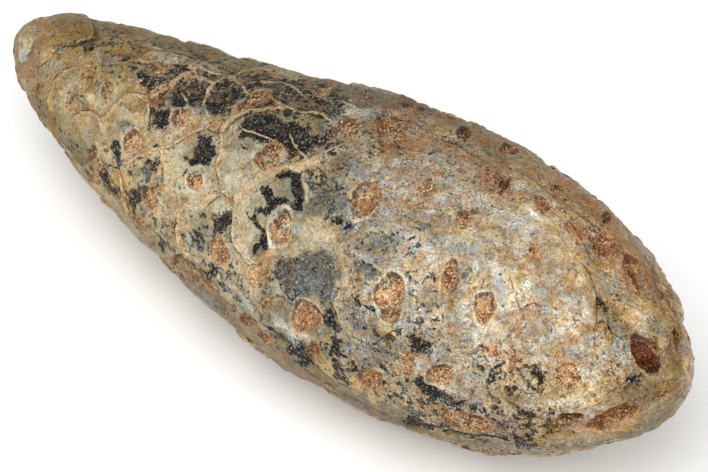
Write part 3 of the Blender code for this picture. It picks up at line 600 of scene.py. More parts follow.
# Soft slate-grey haze inside the stone
stoneAreas["haze"] = (
    (7, 1.0, (280, 258, 300, 252, 332, 252, 340, 272, 336, 300, 330, 318, 318, 300, 292, 294, 280, 278)),
    (4, 0.8, (354, 258, 372, 264, 386, 276, 380, 284, 366, 280, 354, 270)),
    (6, 0.55, (308, 172, 330, 166, 352, 176, 350, 204, 336, 214, 316, 210)),
    (6, 0.45, (336, 232, 360, 236, 380, 226, 420, 228, 412, 246, 372, 254, 344, 250)),
    (6, 0.6, (340, 296, 362, 300, 372, 320, 360, 336, 344, 322)),
    (5, 0.7, (270, 322, 290, 330, 300, 350, 286, 352, 270, 338), (147, 170, 7, 10, 90)),
    (5, 0.6, (128, 128, 8, 10)),
    (4, 0.7, (207, 68, 10, 5)),
    (5, 0.5, (460, 165, 18, 8, -40)),
)

# Broad mottling of the stone: darker, lighter, warmer and cooler ground. The darker and lighter rows are
# partly that mottling and partly painted shade and light, mostly along the outline and round the pits
stoneAreas["darker"] = (
    (2, 0.9, (44, 92, 49, 84, 50, 104, 53, 118, 48, 112)),
    (2, 0.8, (77, 99, 12, 2.5, -85), (92, 108, 16, 2.5), (124, 95, 20, 2.5, 30), (117, 192, 20, 2.5, -85)),
    (3, 0.6, (36, 64, 5, 10), (96, 86, 5, 8), (357, 235, 6, 10), (500, 347, 8, 6), (505, 444, 20, 5),
     (540, 328, 7, 9), (487, 252, 10, 8), (435, 242, 8, 8)),
    (3, 0.7, (63, 53, 12, 3, 30), (420, 329, 12, 6), (391, 375, 6, 6), (401, 345, 6, 6), (557, 440, 16, 6)),
    (3, 1.0, (38, 116, 50, 114, 66, 134, 76, 152, 62, 150, 44, 132), (187, 160, 7, 9),
     (220, 142, 246, 140, 256, 132, 256, 148, 242, 154, 224, 150), (198, 108, 8, 6), (416, 430, 14, 6, -20),
     (598, 428, 9, 6), (661, 367, 8, 7), (622, 342, 11, 8, 40), (193, 150, 17, 6, 52)),
    (3, 0.9, (104, 50, 6, 8), (115, 130, 9, 5), (284, 195, 9, 5), (298, 222, 8, 6), (252, 256, 7, 5),
     (281, 311, 9, 9), (315, 343, 10, 12), (408, 303, 6, 10), (373, 362, 7, 10), (249, 146, 8, 6),
     (211, 225, 9, 7, 70)),
    (3, 0.8, (137, 172, 6, 8), (205, 135, 5, 5), (270, 287, 5, 6), (378, 250, 10, 6), (366, 326, 6, 7),
     (454, 302, 14, 5, 85)),
    (4, 0.9, (188, 206, 216, 206, 216, 244, 204, 248, 190, 230), (321, 347, 8, 13), (315, 124, 9, 7),
     (291, 187, 16, 12, 90), (308, 210, 16, 8, 10), (415, 210, 9, 10), (276, 313, 17, 7),
     (325, 335, 11, 8, 60), (512, 397, 20, 6, -10), (632, 393, 12, 7)),
    (4, 0.8, (676, 380, 690, 370, 684, 392, 650, 408, 650, 400), (270, 317, 18, 6), (520, 276, 8, 8),
     (431, 246, 7, 8), (384, 346, 14, 18, 30), (170, 108, 6, 6), (622, 414, 18, 6, 20),
     (418, 431, 16, 5, -15)),
    (3, 0.5, (560, 350, 9, 9)),
    (5, 1.0, (600, 412, 640, 398, 680, 372, 686, 384, 650, 412, 612, 424), (684, 346, 32, 6, 90),
     (36, 112, 48, 112, 66, 138, 84, 158, 70, 158, 48, 138),
     (300, 72, 360, 84, 400, 96, 440, 108, 436, 116, 390, 108, 300, 84),
     (208, 48, 256, 60, 262, 70, 232, 74, 206, 60),
     (24, 90, 42, 96, 62, 120, 88, 138, 90, 164, 74, 164, 46, 134, 30, 108),
     (600, 300, 614, 300, 640, 338, 640, 350, 612, 346, 600, 325)),
    (4, 1.0, (620, 413, 18, 6), (661, 359, 9, 10), (198, 107, 8, 8), (266, 99, 11, 9, 30)),
    (5, 0.8, (660, 330, 16, 12), (120, 121, 12, 6)),
    (4, 0.7, (412, 222, 8, 16, 70), (531, 204, 9, 7), (504, 343, 8, 8), (430, 434, 34, 4, -12),
     (141, 60, 10, 5), (257, 252, 8, 5), (346, 343, 7, 5), (505, 447, 30, 5, -6), (565, 440, 12, 8),
     (155, 246, 14, 6, -50)),
    (4, 0.6, (18, 57, 4, 12, 90), (632, 342, 14, 9, 50), (293, 262, 7, 12), (346, 207, 6, 6),
     (271, 275, 6, 8), (376, 360, 8, 6), (518, 250, 18, 6, 85)),
    (5, 0.6, (380, 130, 24, 14, -20), (497, 152, 16, 8, -30), (306, 98, 14, 8, -20),
     (652, 285, 28, 8, -60)),
    (4, 0.5, (545, 442, 26, 7), (98, 16, 8, 8), (555, 392, 14, 6), (486, 398, 12, 5)),
    (5, 0.7, (70, 52, 12, 8), (388, 138, 14, 22, -20)),
    (6, 0.9, (44, 14, 90, 12, 132, 22, 152, 42, 142, 68, 112, 88, 96, 76, 104, 50, 60, 34),
     (140, 26, 200, 42, 272, 62, 272, 76, 230, 68, 180, 56, 150, 44),
     (336, 80, 400, 94, 440, 106, 476, 122, 480, 136, 440, 122, 398, 108, 340, 104)),
    (6, 0.5, (372, 142, 28, 16, -20)),
    (5, 0.5, (525, 198, 14, 10, 60)),
    (5, 0.9, (662, 320, 20, 11, -70), (681, 352, 24, 8, 90)),
)

stoneAreas["lighter"] = (
    (4, 0.6, (330, 272, 6, 8), (225, 93, 18, 6, -15), (180, 86, 12, 5), (430, 418, 26, 6, -12),
     (627, 258, 8, 8), (460, 130, 12, 8), (290, 348, 9, 6), (208, 74, 10, 6), (468, 206, 8, 8),
     (580, 386, 10, 8), (553, 415, 9, 6), (452, 431, 10, 5), (572, 265, 8, 12)),
    (4, 0.7, (305, 165, 20, 4, 15), (155, 164, 9, 9), (137, 193, 9, 7), (172, 231, 8, 10, -60),
     (212, 157, 7, 9), (232, 265, 9, 12), (436, 386, 10, 8), (497, 416, 18, 6), (575, 315, 8, 16, 90),
     (213, 154, 6, 7), (190, 272, 7, 6), (425, 186, 7, 8), (531, 422, 7, 7)),
    (3, 0.8, (356, 218, 10, 5), (236, 91, 10, 6, -40), (120, 155, 7, 8), (316, 176, 6, 6),
     (264, 240, 276, 220, 292, 204, 296, 210, 284, 236, 270, 246), (232, 264, 7, 9), (188, 272, 7, 6),
     (515, 386, 7, 6), (528, 416, 7, 12), (440, 392, 7, 6), (412, 415, 9, 6), (448, 425, 7, 6),
     (555, 418, 7, 7), (570, 330, 8, 12), (629, 321, 7, 8), (427, 186, 8, 6, -40)),
    (3, 1.0, (70, 131, 6, 6), (155, 166, 8, 8), (212, 156, 7, 9), (227, 216, 6, 7), (340, 118, 9, 14),
     (358, 190, 16, 8, 20), (292, 293, 8, 7), (382, 296, 10, 26, 5), (345, 382, 12, 10), (451, 262, 7, 11),
     (480, 299, 8, 9), (518, 320, 8, 10), (494, 375, 10, 7)),
    (3, 0.7, (116, 59, 7, 5), (210, 77, 8, 6), (262, 190, 8, 8), (266, 126, 8, 8), (300, 143, 9, 6),
     (318, 105, 10, 6), (346, 225, 6, 7), (250, 290, 7, 8), (298, 350, 8, 7), (432, 303, 7, 7),
     (572, 386, 8, 6)),
    (3, 0.9, (155, 82, 8, 8), (181, 87, 7, 5), (137, 196, 8, 6), (170, 231, 8, 10, -60), (322, 286, 9, 8),
     (380, 342, 8, 6), (490, 413, 14, 6, -15)),
    (3, 0.6, (318, 240, 22, 5), (626, 291, 6, 8), (430, 136, 22, 8), (506, 222, 12, 7), (470, 212, 8, 6)),
    (8, 0.45,
     (96, 120, 160, 112, 216, 116, 270, 116, 282, 152, 256, 190, 236, 240, 240, 284, 196, 276, 150, 214,
      112, 180)),
    (4, 0.9, (340, 114, 9, 12), (224, 234, 240, 234, 252, 268, 246, 286, 234, 276), (291, 293, 8, 6),
     (500, 206, 541, 214, 541, 232, 504, 228)),
    (5, 0.6, (236, 182, 22, 10), (490, 372, 16, 9), (225, 318, 250, 330, 282, 362, 270, 366, 236, 338),
     (100, 104, 20, 6), (150, 90, 9, 14), (262, 128, 16, 6, 20), (300, 340, 12, 8), (120, 192, 12, 8),
     (250, 166, 16, 8)),
    (4, 0.8, (518, 318, 9, 10), (330, 145, 8, 7), (456, 252, 7, 12), (228, 215, 7, 7), (492, 416, 14, 6)),
    (5, 0.7, (348, 386, 14, 9, -20), (350, 180, 16, 10, 30), (384, 312, 10, 10), (430, 350, 12, 8),
     (420, 131, 11, 7), (406, 414, 16, 7, -15)),
    (5, 0.5, (272, 350, 16, 6, -45)),
    (6, 0.6, (516, 150, 560, 162, 620, 204, 616, 226, 590, 200, 550, 178)),
    (5, 0.9,
     (104, 128, 130, 128, 166, 124, 202, 126, 184, 144, 166, 174, 150, 176, 144, 160, 126, 162, 106, 156),
     (148, 196, 176, 180, 226, 178, 232, 194, 206, 204, 190, 212, 186, 244, 178, 246, 160, 216),
     (318, 288, 12, 9), (464, 298, 486, 308, 500, 330, 516, 366, 508, 388, 480, 366, 468, 332)),
    (6, 1.0, (398, 228, 426, 234, 442, 268, 442, 330, 414, 326, 404, 300, 374, 286, 384, 268, 400, 262)),
    (5, 0.8, (354, 386, 15, 9, -20), (462, 156, 14, 8, -40), (575, 308, 11, 9, 90), (624, 370, 16, 9)),
    (5, 1.0, (490, 252, 500, 254, 512, 284, 532, 268, 536, 310, 514, 320, 498, 306)),
)

stoneAreas["warmer"] = (
    (4, 0.9, (46, 51, 7, 6), (226, 85, 9, 6)),
    (4, 0.8, (155, 163, 8, 8), (100, 185, 10, 12), (448, 212, 8, 7), (315, 362, 12, 8, -20),
     (374, 389, 12, 6), (411, 412, 9, 6), (560, 412, 600, 402, 614, 394, 612, 404, 580, 414),
     (645, 350, 9, 10), (666, 280, 7, 10, -60), (522, 281, 9, 7), (561, 322, 8, 9), (326, 106, 12, 8),
     (403, 356, 9, 8)),
    (4, 0.7, (190, 247, 7, 10), (400, 234, 9, 7), (543, 236, 26, 7), (644, 350, 9, 8), (348, 262, 8, 10),
     (30, 96, 7, 9)),
    (4, 0.6, (154, 112, 8, 8), (320, 188, 10, 10), (280, 238, 14, 10), (500, 372, 16, 10),
     (531, 432, 12, 14), (228, 88, 16, 8), (165, 95, 9, 6)),
    (5, 1.0, (612, 436, 26, 8, 14), (586, 444, 640, 414, 650, 420, 620, 440),
     (96, 176, 136, 172, 136, 204, 112, 206), (320, 365, 16, 10, -20), (374, 390, 16, 9),
     (503, 374, 13, 14), (531, 430, 12, 12), (582, 436, 640, 408, 646, 416, 600, 448),
     (594, 400, 18, 8, 10)),
    (5, 0.8, (548, 440, 26, 9), (515, 275, 14, 9, -40)),
    (5, 0.6, (500, 408, 14, 6), (428, 416, 28, 7, -10), (150, 225, 12, 8), (185, 245, 12, 7, -50),
     (455, 432, 20, 8, -10)),
    (5, 0.9, (300, 356, 330, 362, 400, 386, 390, 396, 340, 384, 304, 366), (510, 185, 14, 9),
     (430, 292, 24, 9, -75), (412, 410, 16, 7), (606, 350, 12, 11), (681, 322, 20, 8, -75)),
    (5, 0.5, (168, 226, 20, 12, -50), (504, 188, 14, 14), (492, 320, 14, 9), (80, 135, 10, 8)),
    (8, 0.45, (18, 40, 50, 14, 130, 22, 150, 50, 110, 90, 90, 140, 50, 130, 20, 80)),
    (8, 0.4, (500, 170, 560, 180, 640, 250, 682, 300, 690, 370, 620, 330, 540, 250)),
    (6, 0.5, (480, 340, 600, 370, 600, 400, 500, 400), (590, 320, 20, 12)),
    (5, 0.4, (232, 274, 12, 12)),
    (4, 1.0, (45, 50, 7, 8)),
    (6, 0.6, (112, 124, 14, 14), (600, 260, 22, 16)),
    (6, 1.0, (538, 204, 576, 204, 594, 236, 570, 248, 544, 226)),
    (5, 0.7, (561, 280, 8, 9)),
)

stoneAreas["cooler"] = (
    (4, 0.6, (175, 126, 9, 9), (105, 55, 8, 10, 90), (325, 332, 8, 8), (214, 232, 5, 12, 90),
     (150, 181, 8, 6), (526, 356, 9, 7), (580, 360, 7, 7)),
    (4, 0.5, (108, 92, 8, 10, 90)),
    (5, 0.7, (272, 306, 12, 20), (400, 314, 10, 16, 60), (104, 30, 14, 8), (286, 274, 8, 10),
     (352, 350, 12, 8)),
    (5, 0.5, (466, 328, 16, 8), (660, 330, 8, 14, 60), (616, 285, 16, 8)),
    (5, 0.6, (540, 160, 580, 178, 602, 202, 596, 202, 560, 180), (325, 272, 24, 9), (150, 138, 22, 8, 25),
     (282, 362, 9, 6), (464, 402, 14, 9)),
    (5, 0.9, (82, 101, 14, 9), (386, 306, 26, 10, 30), (340, 330, 382, 340, 392, 358, 372, 362, 344, 350),
     (194, 111, 26, 10, -5), (294, 250, 13, 7), (390, 256, 11, 8), (323, 331, 9, 8), (374, 324, 11, 9)),
    (5, 0.8, (20, 58, 5, 14, 90), (240, 190, 16, 9, 30), (332, 284, 16, 9, 90), (440, 364, 15, 7)),
    (6, 1.0, (226, 282, 262, 296, 292, 306, 290, 322, 258, 322, 232, 300)),
    (4, 0.8, (560, 256, 9, 7)),
    (4, 0.7, (428, 362, 10, 9), (213, 236, 9, 9)),
    (8, 0.5, (200, 172, 330, 180, 440, 210, 460, 250, 340, 270, 230, 230)),
    (6, 0.5, (320, 300, 34, 12), (432, 346, 12, 22), (300, 195, 22, 20)),
    (5, 0.4, (470, 145, 26, 8, -25)),
    (6, 0.6, (265, 150, 20, 12), (340, 135, 26, 12, -10)),
    (5, 1.0, (311, 213, 16, 9), (356, 226, 30, 8, 20), (436, 217, 13, 8, -40), (275, 308, 15, 12)),
    (6, 0.7, (340, 82, 410, 96, 420, 106, 380, 104, 340, 92)),
)

# Sharper grain
stoneAreas["lively"] = (
    (10, 1.0, (15, 40, 50, 12, 100, 16, 110, 60, 90, 110, 50, 120, 25, 90),
     (130, 60, 200, 62, 340, 84, 350, 160, 280, 150, 200, 125, 140, 110)),
    (10, 0.8, (340, 84, 440, 104, 520, 140, 610, 205, 600, 240, 540, 200, 440, 150, 340, 120)),
    (10, 0.9, (600, 240, 640, 250, 684, 310, 690, 370, 640, 420, 600, 400, 610, 320)),
)

# Little grain
stoneAreas["calm"] = (
    (6, 0.5, (600, 300, 640, 298, 672, 306, 676, 322, 664, 350, 652, 344, 640, 330, 610, 334),
     (632, 366, 664, 356, 680, 350, 686, 372, 660, 398, 620, 404, 600, 406, 612, 392)),
    (8, 0.6, (440, 224, 560, 214, 596, 260, 596, 330, 560, 390, 500, 380, 440, 300)),
    (8, 0.5, (350, 224, 440, 224, 440, 330, 360, 330)),
    (5, 0.8, (492, 262, 514, 264, 516, 306, 498, 310), (496, 206, 544, 208, 544, 232, 500, 232)),
    (5, 0.7, (596, 262, 624, 262, 624, 292, 600, 292)),
)

# Glassy grey fillings inside pits, free of crystals
stoneAreas["glass"] = (
    (1.5, 0.9, (281, 226, 9, 4, 65), (266, 156, 6, 5), (354, 208, 5, 3.5, 45)),
    (2, 0.8, (388, 284, 10, 6, 20)),
    (2, 0.7, (198, 174, 7, 4), (348, 128, 4, 4), (461, 211, 3, 4), (365, 187, 7, 4, 30)),
    (2, 0.9, (265, 290, 9, 6), (468, 276, 7, 9)),
)

# Iron-red hollows, painted near black as the shade in their depths
stoneAreas["cavity"] = (
    (1.2, 1.0, (650, 356, 20, 12, -50)),
    (1.5, 0.9, (635, 277, 11, 5, -62), (603, 251, 5, 5), (628, 258, 6, 2.5, -60), (438, 367, 6, 2.5),
     (546, 207, 5, 3, -40), (609, 328, 6, 1.5, -60), (680, 333, 14, 2, -78), (617, 413, 12, 3, 25),
     (595, 425, 8, 2.5, 50)),
    (2, 1.0, (615, 418, 22, 3.6, 22)),
    (1.5, 1.0, (506, 187, 11, 2.5, 60), (607, 219, 4, 3), (516, 151, 4, 2.5), (468, 133, 4.5, 3.5),
     (422, 109, 4, 2), (571, 421, 12, 2.6, 10)),
    (1.2, 0.9, (88, 77, 3, 1.5), (467, 216, 5, 1.8, 80), (372, 208, 8, 2, 45), (276, 226, 4, 1.5, 70),
     (288, 231, 5, 1.5, 70)),
    (1.5, 0.8, (103, 43, 4, 2), (358, 281, 4, 1.5, -20)),
    (1.2, 0.8, (189, 184, 4, 1.2, 110), (155, 201, 7, 1.5, 105), (174, 122, 5, 1.3, 110),
     (316, 311, 7, 3, -50), (254, 100, 6, 2, 20), (474, 418, 9, 2, -25), (449, 278, 7, 2, 80),
     (92, 157, 3.5, 2)),
    (1.2, 0.7, (137, 147, 5, 1.3, 80), (112, 92, 5, 1.3, 70), (493, 303, 6, 1.5, 85), (335, 133, 4, 2, 60)),
)
tightAreas = {"glass": 0.3, "cavity": 0.3}  # share of the full wander that these areas' edges take

# Areas whose face stands higher or lower than the rest: height in millimetres, softness, outline
raisedAreas = (
    (0.2, 1.2,
     (93, 22, 92, 32, 81, 37, 72, 42, 63, 44, 54, 49, 47, 57, 41, 63, 37, 65, 24, 63, 8, 62, 8, 10, 60, -6,
      100, 6)),
    (-0.9, 1.2,
     (676, 318, 670, 344, 663, 351, 645, 358, 631, 363, 630, 375, 624, 382, 618, 387, 611, 389, 607, 396,
      602, 403, 593, 407, 570, 410, 548, 412, 548, 480, 720, 480, 720, 310)),
    (-0.3, 1.5,
     (687, 338, 690.5, 363, 688, 380, 675, 390, 663, 400, 650, 408, 640, 430, 700, 440, 720, 330)),
    (-0.35, 2.0, (401, 409, 440, 405, 470, 414, 500, 420, 530, 424, 548, 412, 560, 480, 380, 470)),
    (0.25, 1.8, (121, 171, 132, 170, 134, 190, 126, 196)),
    (0.2, 2.0, (221, 171, 250, 170, 254, 180, 246, 193, 226, 192)),
)

scaleRule = {
    "scalesInRing": 8,
    "ringStep": 0.45,  # share of the local half width
    "ringZero": 0.0605,
    "ringSamples": 4000,
    "leastHalfWidth": 0.0008,
    "latticeTurn": 2.5,
    "firstRing": -9,
    "lastRing": 5,
    "pitSetBack": 0.15,
    "pitWander": 0.09,
    "edgeBow": 0.13,
    "edgeWaver": 0.07,
    "lipHalfWidth": 0.055,
    "fieldDome": 0.40,  # heights in millimetres from here on
    "fieldTilt": 0.35,
    "lipHeight": 0.30,
    "gutterDepth": 0.35,
    "skinSetBack": 0.20,
    "pitHalfWidth": 1.7,
    "pitDepth": 0.9,
    "shownEdges": 0.25,  # share of the rule's edges left where the photo's own seams are placed
    "seed": 8,
}


def oval(x, y, halfLong, halfShort, tilt=0.0, corners=12):
    # An oval's corners in the picture, tilted up from level by the given degrees
    lean = math.radians(tilt)
    points = []
    for corner in range(corners):
        angle = 2.0 * math.pi * corner / corners
        along = halfLong * math.cos(angle)
        aside = halfShort * math.sin(angle)
        points.append((
            x + along * math.cos(lean) - aside * math.sin(lean),
            y - along * math.sin(lean) - aside * math.cos(lean),
        ))
    return tuple(points)


def shapeCorners(shape):
    # Four or five numbers are an oval, and more are x and y of each corner in turn
    if len(shape) < 6:
        return oval(*shape)
    return np.array(shape, float).reshape(-1, 2)


def smoothLine(points, step=2.5):
    # A rounded line through the given points
    points = np.array(points, float).reshape(-1, 2)
    if len(points) < 3:
        return points
    padded = np.vstack([2 * points[0] - points[1], points, 2 * points[-1] - points[-2]])
    line = []
    for before, start, end, after in zip(padded, padded[1:], padded[2:], padded[3:]):
        count = max(2, int(np.hypot(*(end - start)) / step))
        part = np.linspace(0.0, 1.0, count, endpoint=False)[:, None]
        bend = 2 * before - 5 * start + 4 * end - after
        twist = 3 * start - before - 3 * end + after
        line.append(start + 0.5 * part * ((end - before) + part * (bend + part * twist)))
    return np.vstack(line + [points[-1:]])


def nearBox(corners, reach):
    # The part of the skin that shows within reach of the corners
    low = np.min(corners, axis=0) - reach
    high = np.max(corners, axis=0) + reach
    near = (facing > 0.0) & (gridAcross > low[0]) & (gridAcross < high[0])
    return near & (gridDown > low[1]) & (gridDown < high[1])


def lineDistance(x, y, line):
    # Distance to a line in the picture, signed: positive on its right hand
    best = np.full(x.shape, 1e9)
    side = np.ones(x.shape)
    for start, end in zip(line[:-1], line[1:]):
        run = end - start
        length = max(run @ run, 1e-9)
        part = np.clip(((x - start[0]) * run[0] + (y - start[1]) * run[1]) / length, 0.0, 1.0)
        offX = x - start[0] - part * run[0]
        offY = y - start[1] - part * run[1]
        gap = np.hypot(offX, offY)
        closer = gap < best
        best = np.where(closer, gap, best)
        side = np.where(closer, np.sign(run[0] * offY - run[1] * offX), side)
    return best, side


def softNoise(points, size, seed):
    # Smooth random values from -1 to 1 that change over the given size in metres
    place = points / size + 100.0
    cell = np.floor(place).astype(np.int64)
    part = place - cell
    part = part * part * (3.0 - 2.0 * part)
    total = np.zeros(points.shape[:-1])
    for corner in range(8):
        step = np.array((corner & 1, corner >> 1 & 1, corner >> 2 & 1))
        at = cell + step
        mixed = at[..., 0] * 73856093 ^ at[..., 1] * 19349663 ^ at[..., 2] * 83492791
        mixed = (mixed + seed * 2654435) % 2147483647
        mixed = mixed * 48271 % 2147483647
        mixed = (mixed ^ (mixed >> 13)) * 16807 % 2147483647
        weight = np.prod(np.where(step, part, 1.0 - part), axis=-1)
        total += weight * (mixed / 1073741823.5 - 1.0)
    return total


# How far colour areas wander from their placed corners, in pixels, and over what size in metres
wander = {"broad": 4.5, "broadSize": 0.0022, "fine": 4.0, "fineSize": 0.0009, "lines": 1.0}


def wandered(share):
    # The skin's places in the picture, nudged so that no edge is straight
    across = gridAcross.copy()
    down = gridDown.copy()
    for amount, size, seed in (
        (wander["broad"], wander["broadSize"], 1), (wander["fine"], wander["fineSize"], 3),
    ):
        across += share * amount * softNoise(gridPoints, size, seed)
        down += share * amount * softNoise(gridPoints, size, seed + 1)
    return across, down


areaAcross, areaDown = wandered(1.0)
lineAcross, lineDown = wandered(wander["lines"] / wander["fine"] * 0.5)


def insideDistance(x, y, corners):
    # Distance to the area's edge, positive inside it
    corners = np.array(corners, float)
    closed = np.vstack([corners, corners[:1]])
    best, _ = lineDistance(x, y, closed)
    inside = np.zeros(x.shape, bool)
    for start, end in zip(closed[:-1], closed[1:]):
        crosses = (start[1] > y) != (end[1] > y)
        rise = end[1] - start[1] if abs(end[1] - start[1]) > 1e-9 else 1e-9
        inside ^= crosses & (x < (end[0] - start[0]) * (y - start[1]) / rise + start[0])
    return np.where(inside, best, -best)


def areaField(rows, loose):
    field = np.zeros_like(facing)
    for softness, strength, *shapes in rows:
        for corners in map(shapeCorners, shapes):
            near = nearBox(corners, 2 * softness + lineSizes["areaReach"])
            across = gridAcross[near] + loose * (areaAcross[near] - gridAcross[near])
            down = gridDown[near] + loose * (areaDown[near] - gridDown[near])
            depth = insideDistance(across, down, corners)
            value = strength * smoothStep(-softness, softness, depth)
            field[near] = np.maximum(field[near], value)
    return field * shownShare


def raisedField():
    field = np.zeros_like(facing)
    for height, softness, outline in raisedAreas:
        corners = shapeCorners(outline)
        near = nearBox(corners, 2 * softness)
        depth = insideDistance(lineAcross[near], lineDown[near], corners)
        field[near] += height * smoothStep(-softness, softness, depth)
    return field * shownShare


# Lines and areas: reaches in pixels, spreads in half widths of a line
lineSizes = {
    "areaReach": 8,
    "seamReach": 12,
    "crackReach": 9,
    "pitReach": 16,
    "farOffset": 9.0,
    "seamFade": 4.0,
    "crackFade": 6.0,
    "crackSpread": 2.2,
    "leastSeamWidth": 2.2,
    "sideCrackGap": 0.5,
    "sideCrackThinning": 1.5,
    "sideCrackDepth": 0.25,
}


def seamFields():
    # Closeness is 1 on a line and falls evenly to 0. Offsets are signed and counted in half
    # widths, so that the material can draw a line thinner than the mesh.
    sizes = lineSizes
    ridge, ridgeRise, orange, crack, crackSink = (np.zeros_like(facing) for _ in range(5))
    ridgeOffset, crackOffset = (np.full_like(facing, sizes["farOffset"]) for _ in range(2))

    def addCrack(near, offset, depth):
        closer = np.abs(offset) < np.abs(crackOffset[near])
        crackOffset[near] = np.where(closer, offset, crackOffset[near])
        closeness = np.clip(1.0 - np.abs(offset) / sizes["crackFade"], 0.0, 1.0)
        crack[near] = np.maximum(crack[near], closeness)
        fall = np.exp(-((offset / sizes["crackSpread"]) ** 2))
        crackSink[near] = np.maximum(crackSink[near], depth * fall)

    for halfWidth, height, redness, shadowedSide, points in shownSeams:
        line = smoothLine(points)
        near = nearBox(line, sizes["seamReach"])
        gap, side = lineDistance(lineAcross[near], lineDown[near], line)
        offset = gap * side / halfWidth
        closer = np.abs(offset) < np.abs(ridgeOffset[near])
        orange[near] = np.where(closer, redness, orange[near])
        ridgeOffset[near] = np.where(closer, offset, ridgeOffset[near])
        closeness = np.clip(1.0 - np.abs(offset) / sizes["seamFade"], 0.0, 1.0)
        ridge[near] = np.maximum(ridge[near], closeness)
        fall = np.exp(-((gap / max(halfWidth, sizes["leastSeamWidth"])) ** 2))
        ridgeRise[near] = np.maximum(ridgeRise[near], height * fall)
        # The dark line beside a seam is sunk a little and painted as the shadow under the scale's edge
        if shadowedSide:
            beside = gap * side * shadowedSide - halfWidth - sizes["sideCrackGap"]
            addCrack(near, beside * sizes["sideCrackThinning"], sizes["sideCrackDepth"])
    for halfWidth, depth, points in shownCracks:
        line = smoothLine(points)
        near = nearBox(line, sizes["crackReach"])
        gap, side = lineDistance(lineAcross[near], lineDown[near], line)
        addCrack(near, gap * side / halfWidth, depth)
    fields = (ridge, ridgeRise, orange, crack, crackSink)
    return tuple(field * shownShare for field in fields) + (ridgeOffset, crackOffset)


def ringPosition(distance):
    fine = np.linspace(0.0, coneForm["length"], scaleRule["ringSamples"])
    width = np.maximum(curveThrough(coneForm["halfWidths"], fine), scaleRule["leastHalfWidth"])
    count = np.cumsum(np.full_like(fine, fine[1]) / width) / scaleRule["ringStep"]
    count -= np.interp(scaleRule["ringZero"], fine, count)
    return np.interp(distance, fine, count)


def bowedEdge(along, aside):
    return along + scaleRule["edgeBow"] * (1.0 + np.cos(2.0 * math.pi * aside)) / 2.0


def scaleEdges(ring, column):
    # Where a place lies on its scale: a dome, a lip at the free edge, a gutter at the covered one
    one = (ring + column) / 2.0 + scaleRule["pitSetBack"]
    other = (ring - column) / 2.0
    one, other = bowedEdge(one, other), bowedEdge(other, one)
    oneShare = one - np.round(one)
    otherShare = other - np.round(other)
    toFreeEdge = 0.5 + np.minimum(oneShare, otherShare)
    toCoveredEdge = 0.5 - np.maximum(oneShare, otherShare)
    half = scaleRule["lipHalfWidth"]
    dome = np.cos(math.pi * oneShare) * np.cos(math.pi * otherShare)
    lip = np.exp(-(((toFreeEdge - half) / half) ** 2))
    gutter = np.exp(-((toCoveredEdge / half) ** 2))
    return dome, lip, gutter, oneShare + otherShare


# Shape of every pit: its mouth and floor as shares of its reach, the rest in millimetres
pitForm = {
    "mouth": 1.05,
    "floor": 0.72,
    "rimPlace": 0.22,
    "rimWidth": 0.20,
    "wallPlace": -0.05,
    "wallWidth": 0.13,
    "outside": 3.0,
    "tornDepths": (0.45, 0.25),
}


def pitShape(reach, size):
    # Size is the pit's half breadth in millimetres, and the rim is about as wide on every pit
    bowl = smoothStep(pitForm["mouth"], pitForm["floor"], reach)
    fromEdge = (reach - 1.0) * size
    rim = np.exp(-(((fromEdge - pitForm["rimPlace"]) / pitForm["rimWidth"]) ** 2))
    return bowl, rim, fromEdge


